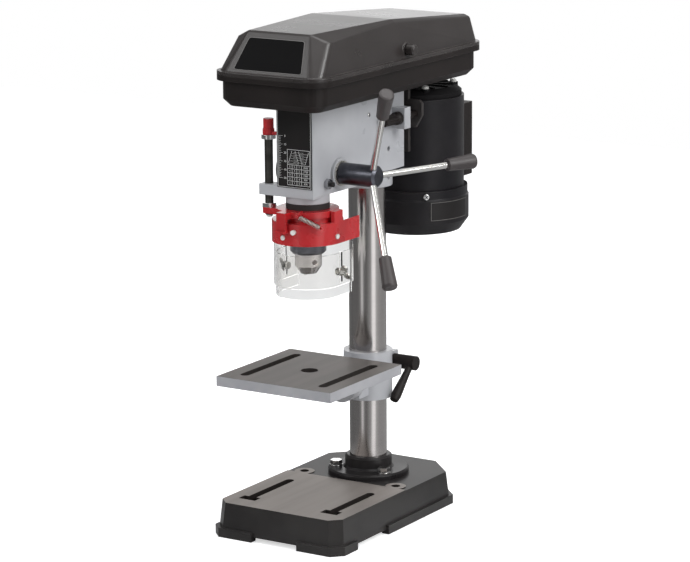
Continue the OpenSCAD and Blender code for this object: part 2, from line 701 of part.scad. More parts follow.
module chuck_body() color("#8d8f92") difference() {
    at(spindle_y) rotate_extrude() polygon([
        [0, chuck_low], [chuck_nose_r, chuck_low], [chuck_cone_r, chuck_low + 6], [chuck_r, chuck_low + 9],
        [chuck_r, chuck_top - 2], [chuck_r - 2, chuck_top - thin], [0, chuck_top - thin]
    ]);
    at(spindle_y) rotate_extrude() polygon([
        [0, spindle_low - 1], [taper_end_r + press_gap, spindle_low - 1],
        [taper_end_r + press_gap, spindle_low], [taper_r + press_gap, chuck_top + 1], [0, chuck_top + 1]
    ]);
    at(spindle_y, chuck_low - 1) cylinder(r = 6, h = spindle_low - chuck_low - 3);
    for (i = [0 : 2]) jaw_frame(i) at(0, -2 * jaw_tip - 4)
        cylinder(r = jaw_r + run_gap, h = jaw_l + jaw_open + jaw_tip + 6);
    for (i = [0 : 2]) at(spindle_y, sleeve_low - 9) rotate(120 * i - 30) translate([7, 0, 0]) along_x()
        cylinder(r = 3, h = chuck_r);
}
module chuck_jaw(i) color("#6f7174") intersection() {
    difference() {
        jaw_frame(i) at(0, -jaw_tip) cylinder(r = jaw_r, h = jaw_l);
        at(spindle_y, chuck_low - 20) cylinder(r = grip_r, h = 60);
    }
    // flanks that keep the three jaws apart when they close
    at(spindle_y) rotate(120 * i + 30) translate([(jaw_close + 1) * sin(jaw_lean), 0, 0])
        linear_extrude(head_z) polygon([[0, 0], [20, -20 * tan(58)], [20, 20 * tan(58)]]);
}
module chuck_jaw_1() chuck_jaw(0);
module chuck_jaw_2() chuck_jaw(1);
module chuck_jaw_3() chuck_jaw(2);
sleeve_out_r = chuck_r + 5.5;
sleeve_teeth = 22;
module chuck_sleeve() color("#3f4143") at(spindle_y) difference() {
    rotate_extrude() polygon([
        [chuck_r + run_gap, sleeve_low], [sleeve_out_r - 3, sleeve_low], [sleeve_out_r, sleeve_low + 3],
        [sleeve_out_r, chuck_top - 4], [sleeve_out_r - 2, chuck_top - 2], [chuck_r + run_gap, chuck_top - 2]
    ]);
    for (i = [0 : sleeve_teeth - 1]) rotate(360 * i / sleeve_teeth)
        translate([chuck_r + 1.2, 0, sleeve_low]) rotate([0, -45, 0]) rotate(45)
        translate([-1.2, -1.2, -4]) cube([2.4, 2.4, 14]);
}

// Feed pinion shaft, hub and levers
base_circle = pinion_pitch_r * cos(pressure);
function involute(r) = let (a = acos(min(1, base_circle / r))) tan(a) * 180 / PI - a;
tooth_half = 90 / pinion_teeth + involute(pinion_pitch_r) - 0.8;
tooth_r = [for (i = [0 : 4]) base_circle + (pinion_tip_r - base_circle) * i / 4];
function flank(side) = [
    for (i = side < 0 ? [0 : 1 : 4] : [4 : -1 : 0])
        let (r = tooth_r[i], turn = side * (tooth_half - involute(r))) r * [cos(turn), sin(turn)]
];
function tooth_foot(side) = (pinion_root_r - 1) * [cos(tooth_half), side * sin(tooth_half)];
module pinion() linear_extrude(pinion_w) {
    circle(r = pinion_root_r);
    for (i = [0 : pinion_teeth - 1]) rotate(360 * i / pinion_teeth)
        polygon(concat([tooth_foot(-1)], flank(-1), flank(1), [tooth_foot(1)]));
}
hub_x = feed_boss_x + washer_thick + loose_gap;
shaft_left = -feed_boss_x - cap_l + cap_wall + 1;
lever_x = hub_x + hub_l - 10;
shaft_end = lever_x - 12;
journal_x = sqrt(pow(quill_r, 2) - pow(feed_y - spindle_y - journal_r - loose_gap, 2));
module pinion_shaft() color(steel) at(feed_y, feed_z) {
    translate([-pinion_w / 2, 0, 0]) along_x() rotate(-90) pinion();
    translate([shaft_left, 0, 0]) along_x() cylinder(r = small_journal_r, h = -shaft_left);
    translate([journal_x, 0, 0]) along_x() cylinder(r = journal_r, h = hub_x - journal_x);
    along_x() cylinder(r = small_journal_r, h = shaft_end);
}
lever_turn = 1.5;
module lever_frames() at(feed_y, feed_z) translate([lever_x, 0, 0])
    for (turn = [0, 120, 240]) rotate([turn + lever_turn, 0, 0]) rotate([0, 0, -lever_lean]) along_y() children();
lever_root = 0.85 * lever_d;
module feed_hub() color("#2b2929") difference() {
    at(feed_y, feed_z) translate([hub_x, 0, 0]) along_x() rotate_extrude() polygon([
        [0, 0], [hub_d / 2, 0], [hub_d / 2, hub_l - 3], [hub_d / 2 - 3, hub_l], [0, hub_l]
    ]);
    at(feed_y, feed_z) along_x() cylinder(r = small_journal_r + press_gap, h = shaft_end + 1);
    lever_frames() at(0, lever_root - 0.5) cylinder(r = lever_d / 2 + press_gap, h = hub_d);
}
rod_in_grip = 24;
module feed_levers() color("#d4d6d8") lever_frames() at(0, lever_root)
    cylinder(d = lever_d, h = lever_l - grip_l + rod_in_grip - lever_root);
module lever_grips() color("#413d3b") lever_frames() at(0, lever_l - grip_l) difference() {
    rotate_extrude() polygon([
        [0, 0], [grip_d / 2 - 3.2, 0], [grip_d / 2 - 1.8, 1], [grip_d / 2, grip_l - 3],
        [grip_d / 2 - 0.8, grip_l - 0.8], [grip_d / 2 - 3, grip_l], [0, grip_l]
    ]);
    at(0, -1) cylinder(d = lever_d + 2 * press_gap, h = rod_in_grip + 2);
}

// Belt drive
pulley_z = head_top + 10;
step_h = 11;
steps = 5;
spindle_step = [for (i = [0 : steps - 1]) 22 + 4 * i];
motor_step = [for (i = [0 : steps - 1]) 30 - 4 * i];
pulley_h = steps * step_h;
groove_depth = 6;
groove_top = 8;
groove_base = 5;
flange_over = 2.5;
belt_step = 2;
belt_gap = 0.35;
module pulley(radii, bore_r) rotate_extrude() difference() {
    union() for (i = [0 : steps - 1])
        translate([bore_r, i * step_h]) square([radii[i] + flange_over - bore_r, step_h]);
    for (i = [0 : steps - 1]) translate([radii[i] + flange_over, (i + 0.5) * step_h]) polygon([
        [0.5, -groove_top / 2], [0.5, groove_top / 2],
        [-groove_depth, groove_base / 2], [-groove_depth, -groove_base / 2]
    ]);
}
module pulley_bearings() color(steel) at(spindle_y)
    for (z = [bearing_seat_z, head_top + pulley_boss_h - pulley_bearing_h])
        at(0, z) tube(pulley_bearing_r, sleeve_r + run_gap, pulley_bearing_h);
sleeve_low_z = bearing_seat_z - 1;
sleeve_high = pulley_z + pulley_h;
module drive_sleeve() color("#9b9da0") at(spindle_y) difference() {
    union() {
        at(0, sleeve_low_z) cylinder(r = sleeve_r, h = sleeve_high - sleeve_low_z + 4);
        at(0, head_top + pulley_boss_h + loose_gap)
            cylinder(r = sleeve_r + 3, h = pulley_z - head_top - pulley_boss_h - loose_gap);
        at(0, sleeve_high) hex(2.8 * sleeve_r, 4);
    }
    at(0, sleeve_low_z - 1) linear_extrude(sleeve_high - sleeve_low_z + 6) spline(0.15);
}
module spindle_pulley() color("#a7a9ab") at(spindle_y, pulley_z) pulley(spindle_step, sleeve_r + press_gap);
belt_z = pulley_z + (belt_step + 0.5) * step_h;
belt_spindle_r = spindle_step[belt_step] + flange_over - groove_depth + belt_gap;
belt_motor_r = motor_step[belt_step] + flange_over - groove_depth + belt_gap;
belt_span = throat + motor_offset;
belt_lean = asin((belt_spindle_r - belt_motor_r) / belt_span);
belt_t = groove_depth - belt_gap;
belt_lap = 0.5;       // the straight runs reach this far into the bends
belt_step_in = 0.03;  // and are this much slimmer
module belt_section(inset) polygon([
    [inset, -groove_base / 2 + belt_gap + inset], [belt_t - inset, -groove_top / 2 + belt_gap + inset],
    [belt_t - inset, groove_top / 2 - belt_gap - inset], [inset, groove_base / 2 - belt_gap - inset]
]);
module drive_belt() color("#262423") at(0, belt_z) {
    at(spindle_y) rotate_extrude(angle = 180 + 2 * belt_lean, start = 180 - belt_lean)
        translate([belt_spindle_r, 0]) belt_section(0);
    at(motor_y) rotate_extrude(angle = 180 - 2 * belt_lean, start = belt_lean)
        translate([belt_motor_r, 0]) belt_section(0);
    for (side = [-1, 1]) at(spindle_y) rotate(90 - side * (90 - belt_lean)) translate([belt_spindle_r, 0, 0])
        rotate([-side * 90, 0, 0]) at(0, -belt_lap)
        linear_extrude(belt_span * cos(belt_lean) + 2 * belt_lap) belt_section(belt_step_in);
}

// Motor on its bracket
motor_top = head_top - 26;
motor_low = motor_top - motor_l;
motor_wall = 4;
motor_r = motor_d / 2;
cap_h = 12;
shaft_r = 7;
rotor_r = 30;
module motor_housing() color(black_paint) at(motor_y, motor_low) difference() {
    cylinder(r = motor_r, h = motor_l);
    at(0, -1) cylinder(r = motor_r - motor_wall, h = motor_l + 2);
}
cap_bolt_circle = motor_r - 12;
module motor_top_cap() color(black_paint) at(motor_y, motor_top) difference() {
    union() {
        rotate_extrude() polygon([
            [0, 0], [motor_r - 3, 0], [motor_r - 3, cap_h / 2], [motor_r - 8, cap_h - 2],
            [motor_r - 12, cap_h], [0, cap_h]
        ]);
        for (turn = [45 : 90 : 315]) rotate(turn) translate([cap_bolt_circle, 0, 0]) {
            cylinder(r = 6, h = cap_h + 1);
            cylinder(r = 3, h = cap_h + 4);
        }
        for (turn = [0 : 30 : 330]) rotate(turn) translate([16, -1.5, 1]) cube([motor_r - 30, 3, cap_h + 0.5]);
        cylinder(r = 18, h = cap_h + 2);
    }
    at(0, -1) cylinder(r = shaft_r + run_gap, h = cap_h + 4);
}
fan_r = fan_d / 2;
fan_wall = 2.5;
fan_chamfer = 10;
vent_count = 16;
module fan_cover() color(black_paint) at(motor_y, motor_low - fan_h) difference() {
    rotate_extrude() polygon([
        [0, 0], [fan_r - fan_chamfer, 0], [fan_r, fan_chamfer + 4], [fan_r, fan_h - 12],
        [fan_r - 1.5, fan_h - 10], [fan_r - 1.5, fan_h - thin], [0, fan_h - thin]
    ]);
    rotate_extrude() polygon([
        [0, fan_wall], [fan_r - fan_chamfer - 1, fan_wall], [fan_r - fan_wall, fan_chamfer + 5],
        [fan_r - fan_wall - 1.5, fan_h - 8], [0, fan_h - 8]
    ]);
    at(0, fan_h - 9) cylinder(r = shaft_r + run_gap, h = 12);
    for (turn = [0 : 360 / vent_count : 359]) rotate(turn) translate([20, -2, -1]) cube([26, 4, fan_wall + 2]);
}
box_half = 32;
box_out = 34;
box_h = 92;
box_round = 12;
box_edge = 7;
box_rear = motor_r + box_out + 0.2;
module box_side() rotate([90, 0, 90]) linear_extrude(4 * box_half, center = true) {
    square([box_rear - box_edge, box_h]);
    translate([0, box_edge]) square([box_rear, box_h - 2 * box_edge]);
    for (z = [box_edge, box_h - box_edge]) translate([box_rear - box_edge, z]) circle(r = box_edge);
}
module capacitor_box() color(black_plastic) at(motor_y, motor_low + 2) difference() {
    intersection() {
        box_side();
        union() {
            both_sides() translate([box_half - box_round, motor_r + box_out - box_round, -1])
                cylinder(r = box_round, h = box_h + 2);
            translate([-box_half, 1, -1]) cube([2 * box_half, motor_r + box_out - box_round - 1, box_h + 2]);
            translate([box_round - box_half, 1, -1])
                cube([2 * (box_half - box_round), motor_r + box_out - 1, box_h + 2]);
        }
    }
    at(0, -1) cylinder(r = motor_r + press_gap, h = box_h + 2);
}
ear_x = tension_x + 10;
ear_half = 17;
ear_low_cut = 9;
ear_top_cut = 4;
saddle_w = 46;
bracket_grip = 60;
bracket_low = motor_top - bracket_grip;
module motor_bracket() color(black_paint) difference() {
    union() {
        translate([-head_rear_half, bracket_y, bracket_low])
            cube([2 * head_rear_half, bracket_t, head_top - 6 - bracket_low]);
        translate([0, bracket_y + bracket_t, tension_z]) rotate([90, 0, 0]) linear_extrude(bracket_t) polygon([
            [0, -ear_half], [ear_x - ear_low_cut, -ear_half], [ear_x, 1.7 * ear_low_cut - ear_half],
            [ear_x, ear_half - ear_top_cut], [ear_x - ear_top_cut, ear_half], [0, ear_half]
        ]);
        translate([-saddle_w / 2, bracket_y, bracket_low])
            cube([saddle_w, motor_offset - head_rear - 10 - motor_r / 2, motor_top - bracket_low]);
    }
    at(motor_y, bracket_low - 1) cylinder(r = motor_r + press_gap, h = motor_l);
    both_sides() translate([bar_x, bracket_y - 1, bar_z]) along_y()
        cylinder(r = bar_r + press_gap, h = bracket_t + 2);
    translate([tension_x, bracket_y - 1, tension_z]) along_y()
        cylinder(r = tension_r + 0.2, h = bracket_t + 2);
}
bar_end_y = head_rear_y - bar_depth + motor_slide + 2;
module slide_bars() color(steel) both_sides() translate([bar_x, bar_end_y, bar_z]) along_y()
    cylinder(r = bar_r, h = bracket_y + bracket_t - bar_end_y);
shaft_high = pulley_z + pulley_h + 3;
fan_z = motor_low - fan_h + fan_chamfer + 6;
module motor_shaft() color("#8f9194") at(motor_y) {
    at(0, fan_z - 2) cylinder(r = shaft_r, h = shaft_high - fan_z + 2);
    at(0, motor_low + 12) cylinder(r = rotor_r, h = motor_l - 24);
}
module motor_pulley() color("#a7a9ab") at(motor_y, pulley_z) pulley(motor_step, shaft_r + press_gap);
blade_r = fan_r - 16;
module cooling_fan() color("#2c3a48") at(motor_y, fan_z) difference() {
    union() {
        cylinder(r = shaft_r + 6, h = 16);
        cylinder(r = blade_r, h = 2);
        for (turn = [0 : 45 : 315]) rotate(turn) translate([shaft_r + 2, -1, 0])
            cube([blade_r - shaft_r - 3, 2, 16]);
    }
    at(0, -1) cylinder(r = shaft_r + press_gap, h = 20);
}
tension_knob_l = 34;
tension_knob_r = 6.5;
flutes = 8;
flute_r = 1.5;
tension_end_y = bracket_y + bracket_t + 6;
module tension_screw() color("#262424") translate([tension_x, 0, tension_z]) {
    at(lug_y - tension_knob_l) along_y() cylinder(r = tension_r, h = tension_end_y - lug_y + tension_knob_l);
    at(lug_y - face_gap - tension_knob_l) along_y() difference() {
        rotate_extrude() polygon([
            [0, 0], [tension_knob_r - 1.5, 0], [tension_knob_r, 1.5], [tension_knob_r, tension_knob_l - 8],
            [tension_knob_r + 1.5, tension_knob_l - 6], [tension_knob_r + 1.5, tension_knob_l], [0, tension_knob_l]
        ]);
        for (i = [0 : flutes - 1]) rotate(360 * i / flutes) translate([tension_knob_r + flute_r / 3, 0, -1])
            cylinder(r = flute_r, h = tension_knob_l - 8);
    }
    at(lug_y + lug_l + face_gap) along_y() cylinder(r = tension_r + 2, h = 2);
}

// Belt cover: lower tub and hinged lid
rim_over = 7;
rim_t = 6.5;
tub_round = 20;
tub_edge = 8;
module corner_posts(inset, r, z, h) {
    half = cover_w / 2 - rim_over - inset;
    for (side = [-1, 1]) for (y = [
        column_y - cover_front + rim_over + inset + r, column_y + cover_back - rim_over - inset - r
    ]) translate([side * (half - r), y, z]) cylinder(r = r, h = h, $fn = 32);
}
module tub_form(shrink) hull() {
    corner_posts(shrink, tub_round - shrink, head_top + tub_edge, tub_h - tub_edge + (shrink > 0 ? 1 : 0));
    corner_posts(tub_edge, tub_round - tub_edge + 1, head_top + shrink, 1);
}
module rim(h) linear_extrude(h) {
    r = tub_round + rim_over;
    half = cover_w / 2;
    front = column_y - cover_front;
    back = column_y + cover_back;
    for (side = [-1, 1]) for (y = [front + r, back - r]) translate([side * (half - r), y]) circle(r = r);
    translate([-half, front + r]) square([2 * half, back - front - 2 * r]);
    translate([r - half, front]) square([2 * (half - r), back - front]);
}
tub_screw_r = 2.5;
tub_screw_l = 12;
tub_hole_r = pulley_boss_r + loose_gap;
module tub_screw_places() {
    both_sides() translate([head_w / 2 - 4.5, head_front_y + 6, 0]) children();
    both_sides() translate([head_rear_half - 6, column_y - 26, 0]) children();
}
hinge_r = 3.5;
hinge_pin_r = 1.6;
hinge_x = -cover_w / 2 - hinge_r - 0.5;
hinge_z = rim_z + 0.5;
hinge_len = 14;
hinge_front = 150;
hinge_back = 60;
hinge_y = [column_y - hinge_front, column_y + hinge_back];
module knuckle(y, len, bore) translate([hinge_x, y, hinge_z]) along_y() difference() {
    cylinder(r = hinge_r, h = len);
    at(0, -1) cylinder(r = hinge_pin_r + bore, h = len + 2);
}
module belt_guard_tub() color(black_plastic) {
    difference() {
        union() {
            tub_form(0);
            at(0, rim_z - rim_t) rim(rim_t);
            for (y = hinge_y) translate([hinge_x, y, rim_z - rim_t])
                cube([hinge_r + 6, hinge_len, rim_t - 2]);
        }
        tub_form(cover_wall);
        at(spindle_y, head_top - 1) cylinder(r = tub_hole_r, h = tub_h);
        for (y = [motor_y - motor_slide, motor_y]) at(y, head_top - 1) cylinder(r = shaft_r + 3, h = tub_h);
        translate([-shaft_r - 3, motor_y - motor_slide, head_top - 1])
            cube([2 * shaft_r + 6, motor_slide, tub_h]);
        tub_screw_places() at(0, head_top - 1) cylinder(r = tub_screw_r + loose_gap, h = cover_wall + 2);
    }
    for (y = hinge_y) knuckle(y, hinge_len, press_gap);
}
module tub_screws() color(steel) tub_screw_places() {
    at(0, head_top - tub_screw_l + 1) cylinder(r = tub_screw_r, h = tub_screw_l + cover_wall);
    at(0, head_top + cover_wall) cylinder(r = 2 * tub_screw_r, h = 3);
}
module hinge_pins() color(steel) for (y = hinge_y) translate([hinge_x, y, hinge_z]) along_y()
    cylinder(r = hinge_pin_r, h = 2 * hinge_len + 1);
lid_seat = 0.3;
lid_flange_t = 4;
lid_inset = 6;
lid_round = 4;
lid_low = rim_z + lid_seat;
lid_top = rim_z + lid_h;
lid_front_y = column_y - cover_front + lid_inset;
lid_back_y = column_y + cover_back - lid_inset;
lid_half = cover_w / 2 - lid_inset;
// Corners of the lid: half-width, place front to back and height, front to rear
lid_corners = [
    [lid_half - 25, lid_front_y + 31, lid_top - 1],
    [lid_half - 12, column_y - 35, lid_top], [lid_half - 9, column_y - 35, lid_top - 2],
    [lid_half - 9, lid_back_y - 12, lid_top - 16], [lid_half - 14, lid_back_y - 12, lid_top - 14]
];
lid_corner_r = 16;
lid_shoulder_r = 14;
lid_shoulder = [lid_half - 7, lid_front_y + 30, lid_top - 11];    // half-width, front and height of the shoulders
module lid_form(shrink, z) hull() {
    for (side = [-1, 1]) for (y = [lid_front_y + lid_corner_r, lid_back_y - lid_corner_r])
        translate([side * (lid_half - lid_corner_r), y, z])
            cylinder(r = lid_corner_r - shrink, h = lid_low + 3 - z, $fn = 32);
    for (side = [-1, 1])
        translate([side * (lid_shoulder.x - lid_shoulder_r), lid_shoulder.y + lid_shoulder_r, lid_shoulder.z - shrink])
            cylinder(r = lid_shoulder_r - shrink, h = 1, $fn = 32);
    for (side = [-1, 1]) for (p = lid_corners)
        translate([side * (p.x - lid_round), p.y, p.z - lid_round]) sphere(r = lid_round - shrink, $fn = 16);
}
knob_y = column_y - 21;
knob_z = rim_z + 14;
knob_r = 6.5;
knob_stem_r = 3;
knob_x = lid_half - 3;
module lid_shell() color(black_plastic) {
    difference() {
        union() {
            lid_form(0, lid_low);
            at(0, lid_low) rim(lid_flange_t);
            for (y = hinge_y) translate([hinge_x, y + hinge_len + 0.5, hinge_z + hinge_pin_r + 0.6])
                cube([hinge_r + 8, hinge_len, lid_low + lid_flange_t - hinge_z - hinge_pin_r - 0.6]);
            translate([knob_x - 10, knob_y, knob_z]) along_x() cylinder(r = knob_r + 2, h = 12);
            translate([knob_x - 10, knob_y - knob_r - 1.9, lid_low]) cube([12, 2 * knob_r + 3.8, knob_z - lid_low]);
        }
        lid_form(cover_wall, lid_low - 1);
        for (y = hinge_y) translate([hinge_x - 5, y - 0.5, lid_low - 1]) cube([5 + hinge_r + 1, hinge_len + 1, 6]);
        translate([knob_x - 20, knob_y, knob_z]) along_x() cylinder(r = knob_stem_r + run_gap, h = 40);
    }
    for (y = hinge_y) knuckle(y + hinge_len + 0.5, hinge_len, run_gap);
}
module lid_knob() color("#2a2827") translate([knob_x, knob_y, knob_z]) along_x() {
    at(0, -6) cylinder(r = knob_stem_r, h = 10);
    at(0, -8) cylinder(r = knob_stem_r + 2.5, h = 2.5);
    at(0, 2 + face_gap) rotate_extrude() polygon([
        [0, 0], [knob_r - 1, 0], [knob_r, 1], [knob_r, 10], [knob_r - 1.5, 12], [0, 12]
    ]);
}

// Chuck guard: turning band with two clear shields
band_t = 1.8;
band_top = ring_top - band_drop;
band_low = band_top - band_h;
shield_gap = 0.3;
upper_out_r = guard_r - band_t - shield_gap;
lower_out_r = upper_out_r - shield_t - shield_gap;
upper_low = band_low - 52;
upper_high = band_top - web_t - 1;
lower_low = upper_low - 13;
lower_high = lower_low + 52;
wing_z = lower_low + 29;
wing_r = 2.5;
wing_back = 8;        // wing screws behind the spindle axis
slot_low = wing_z - 12;
slot_high = wing_z + 24;
shield_back = 35;
grip_back = 46;
// Half ring open to the back, with straight sides that run back to the given depths
module guard_wall(r, t, h, right, left) {
    rotate_extrude(angle = 180, start = 180) translate([r - t, 0]) square([t, h]);
    translate([r - t, 0, 0]) cube([t, right, h]);
    translate([-r, 0, 0]) cube([t, left, h]);
}
wall_t = 5;           // raised wall at the right of the band
wall_l = 18;
stud_turn = -80;
stud_z = band_low + 17;
ring_peg_z = band_low + 22.5;
screw_turns = [-100, -5, 185];
screw_r = 1.5;
screw_z = band_low + 9;
module guard_ring() color(red) at(spindle_y) difference() {
    union() {
        at(0, band_low) guard_wall(guard_r, band_t, band_h, grip_back, 6);
        at(0, band_top - web_t) intersection() {
            cylinder(r = guard_r - band_t / 2, h = web_t);
            translate([-guard_r, -guard_r, -1]) cube([2 * guard_r, guard_r + skirt_r + 6, web_t + 2]);
        }
        rotate(spring_b_turn) translate([guard_r - 1, 0, ring_peg_z]) along_x()
            cylinder(r = peg_r, h = peg_reach - guard_r + 4);
        at(0, band_top - 1) cylinder(r = ring_hub_r, h = band_drop + 1);
        translate([guard_r - wall_t, -wall_l / 2, band_top - 1]) cube([wall_t, wall_l, clamp_top - band_top + 1]);
    }
    at(0, 0) cylinder(r = skirt_r + run_gap, h = head_z);
    guard_screw_holes();
}
module guard_screw_holes() {
    for (turn = screw_turns) rotate(turn) translate([guard_r - 8, 0, screw_z]) along_x()
        cylinder(r = screw_r + press_gap, h = 16);
    rotate(stud_turn) translate([guard_r - 8, 0, stud_z]) along_x() cylinder(r = screw_r + press_gap, h = 16);
}
module guard_screw(head) translate([upper_out_r - shield_t, 0, 0]) along_x() {
    cylinder(r = screw_r, h = guard_r - upper_out_r + shield_t + 1);
    at(0, guard_r - upper_out_r + shield_t) cylinder(r = 2 * screw_r, h = head);
}
module guard_screws() color(steel) at(spindle_y) {
    for (turn = screw_turns) rotate(turn) at(0, screw_z) guard_screw(1.6);
    rotate(stud_turn) at(0, stud_z) guard_screw(4);
}
module shield(out_r, low, high) at(0, low)
    guard_wall(out_r, shield_t, high - low, shield_back, shield_back);
module upper_shield() color(clear) at(spindle_y) difference() {
    shield(upper_out_r, upper_low, upper_high);
    for (side = [-1, 1]) translate([side * upper_out_r - 5, wing_back - wing_r - 0.3, slot_low])
        cube([10, 2 * wing_r + 0.6, slot_high - slot_low]);
    guard_screw_holes();
}
module lower_shield() color(clear) at(spindle_y) difference() {
    shield(lower_out_r, lower_low, lower_high);
    for (side = [-1, 1]) translate([side * lower_out_r - 10, wing_back, wing_z]) along_x()
        cylinder(r = wing_r + press_gap, h = 20);
}
wing_x = upper_out_r + shield_gap;
wing_head_x = lower_out_r - shield_t - 3;
wing_hub_r = 5;
wing_hub_h = 6;
wing_disc_r = 4.5;
wing_t = 2.2;
wing_turn = 35;
module wing_screws() color(steel) at(spindle_y + wing_back, wing_z) both_sides() {
    translate([wing_head_x, 0, 0]) along_x() cylinder(r = wing_r, h = wing_x - wing_head_x + wing_hub_h + 1);
    translate([wing_head_x, 0, 0]) along_x() hex(8, 3 - face_gap);
    translate([wing_x, 0, 0]) along_x() cylinder(r1 = wing_hub_r, r2 = 0.7 * wing_hub_r, h = wing_hub_h);
    for (side = [0, 180]) rotate([wing_turn + side, 0, 0])
        translate([wing_x + wing_hub_h, -wing_t / 2, wing_hub_r + 1]) along_y() cylinder(r = wing_disc_r, h = wing_t);
}
// Tension spring between the clamp's lug and the band's peg
wire_r = 0.55;
coil_r = 2.6;
coil_turns = 16;
rings_per_turn = 8;
wire_sides = 6;
function polar(r, turn, z) = [r * cos(turn), spindle_y + r * sin(turn), z];
spring_from = polar(peg_reach, spring_a_turn, peg_z);
spring_to = polar(peg_reach, spring_b_turn, ring_peg_z);
spring_way = spring_to - spring_from;
spring_free = norm(spring_way);
spring_dir = spring_way / spring_free;
spring_u = cross(spring_dir, [0, 0, 1]) / norm(cross(spring_dir, [0, 0, 1]));
spring_v = cross(spring_dir, spring_u);
spring_end = peg_r + wire_r + coil_r * tan((spring_b_turn - spring_a_turn) / 2) + 0.3;
coil_rings = coil_turns * rings_per_turn;
function coil_point(i, r) = let (turn = 360 * i / rings_per_turn)
    spring_from + spring_dir * (spring_end + (spring_free - 2 * spring_end) * i / coil_rings)
    + r * (cos(turn) * spring_u + sin(turn) * spring_v);
// Each ring lies across the wire, with the straight tails ending one wire diameter past the coil
function coil_ring(i) = let (turn = 360 * i / rings_per_turn, out = cos(turn) * spring_u + sin(turn) * spring_v)
    [for (k = [0 : wire_sides - 1]) coil_point(i, coil_r)
        + wire_r * (cos(360 * k / wire_sides) * out + sin(360 * k / wire_sides) * spring_dir)];
function tail_ring(i, sign) = let (
        turn = 360 * i / rings_per_turn,
        along = sign * (cos(turn) * spring_v - sin(turn) * spring_u)
    ) [for (p = coil_ring(i)) p + 2 * wire_r * along];
coil_points = concat(
    tail_ring(0, -1), [for (i = [0 : coil_rings]) each coil_ring(i)], tail_ring(coil_rings, 1)
);
ring_count = coil_rings + 3;
coil_faces = concat(
    [for (k = [1 : wire_sides - 2]) [0, k, k + 1]],
    [for (i = [0 : ring_count - 2]) for (k = [0 : wire_sides - 1]) each [
        [i * wire_sides + k, (i + 1) * wire_sides + k, (i + 1) * wire_sides + (k + 1) % wire_sides],
        [i * wire_sides + k, (i + 1) * wire_sides + (k + 1) % wire_sides, i * wire_sides + (k + 1) % wire_sides]
    ]],
    [for (k = [1 : wire_sides - 2])
        [(ring_count - 1) * wire_sides, (ring_count - 1) * wire_sides + k + 1, (ring_count - 1) * wire_sides + k]]
);
coil_self_gap = min([
    for (i = [0 : rings_per_turn - 1]) for (j = [i + rings_per_turn - 2 : i + rings_per_turn + 2])
        norm(coil_point(j, coil_r) - coil_point(i, coil_r))
]) - 2 * wire_r;
module guard_spring() color(steel) {
    echo(guard_spring_self_gap = coil_self_gap);
    polyhedron(points = coil_points, faces = coil_faces);
}

base_casting();
column_flange();
column_tube();
flange_bolts();
table_bracket();
tilt_bolt();
table_plate();
clamp_lever();
head_casting();
head_screws();
scale_plate();
shaft_washer();
spring_cap();
return_spring();
switch_box();
start_button();
stop_button();
quill_sleeve();
quill_bearings();
quill_collar();
depth_rod();
depth_pointer();
depth_nuts();
spindle_shaft();
chuck_body();
chuck_sleeve();
chuck_jaw_1();
chuck_jaw_2();
chuck_jaw_3();
pinion_shaft();
feed_hub();
feed_levers();
lever_grips();
pulley_bearings();
drive_sleeve();
spindle_pulley();
drive_belt();
motor_housing();
motor_top_cap();
fan_cover();
capacitor_box();
motor_bracket();
slide_bars();
motor_shaft();
motor_pulley();
cooling_fan();
tension_screw();
belt_guard_tub();
tub_screws();
hinge_pins();
lid_shell();
lid_knob();
guard_clamp();
guard_retainer();
guard_ring();
guard_spring();
guard_screws();
upper_shield();
lower_shield();
wing_screws();
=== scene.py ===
# %% [markdown]
# # A benchtop drill press, dressed in Blender
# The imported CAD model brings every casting, shaft, pulley and screw at its real size. This script gives those
# solids their finishes, adds the printed scale and the small trim, and sets up the camera and the light.

# %% Load the frame
import math

import bmesh
import bpy
from mathutils import Matrix, Vector


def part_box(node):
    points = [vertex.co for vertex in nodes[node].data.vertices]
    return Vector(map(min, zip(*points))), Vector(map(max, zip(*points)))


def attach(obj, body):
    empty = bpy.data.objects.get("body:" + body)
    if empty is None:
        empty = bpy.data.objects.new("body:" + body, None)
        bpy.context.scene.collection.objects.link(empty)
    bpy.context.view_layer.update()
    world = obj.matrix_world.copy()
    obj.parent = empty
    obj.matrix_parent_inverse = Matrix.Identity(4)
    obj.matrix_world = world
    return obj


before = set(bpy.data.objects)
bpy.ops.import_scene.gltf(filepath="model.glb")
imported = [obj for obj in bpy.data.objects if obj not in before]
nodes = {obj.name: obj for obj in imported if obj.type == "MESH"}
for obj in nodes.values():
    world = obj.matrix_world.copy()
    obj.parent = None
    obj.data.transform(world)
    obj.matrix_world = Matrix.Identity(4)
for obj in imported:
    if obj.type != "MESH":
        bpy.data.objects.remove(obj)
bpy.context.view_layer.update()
mm = 0.001

# %% [markdown]
# ## Camera
# The drill was photographed from the operator's right and a little above, through a long lens. A camera looks
# along its own -Z, so its three axes are worked out from the compass angle, the height angle and a slight roll.

# %% Camera at the photograph's angle
PHOTO_WIDTH = 690
FOCAL_PIXELS = 3061.4
SENSOR = 36.0
AZIMUTH = math.radians(32.16)
ELEVATION = math.radians(12.48)
ROLL = math.radians(-0.40)
AIM = Vector((-23.35, 29.32, 282.04)) * mm
DISTANCE = 3.7491

back = Vector((math.sin(AZIMUTH) * math.cos(ELEVATION), -math.cos(AZIMUTH) * math.cos(ELEVATION),
               math.sin(ELEVATION)))
level = Vector((math.cos(AZIMUTH), math.sin(AZIMUTH), 0.0))
upright = back.cross(level)
right = level * math.cos(ROLL) + upright * math.sin(ROLL)
up = upright * math.cos(ROLL) - level * math.sin(ROLL)

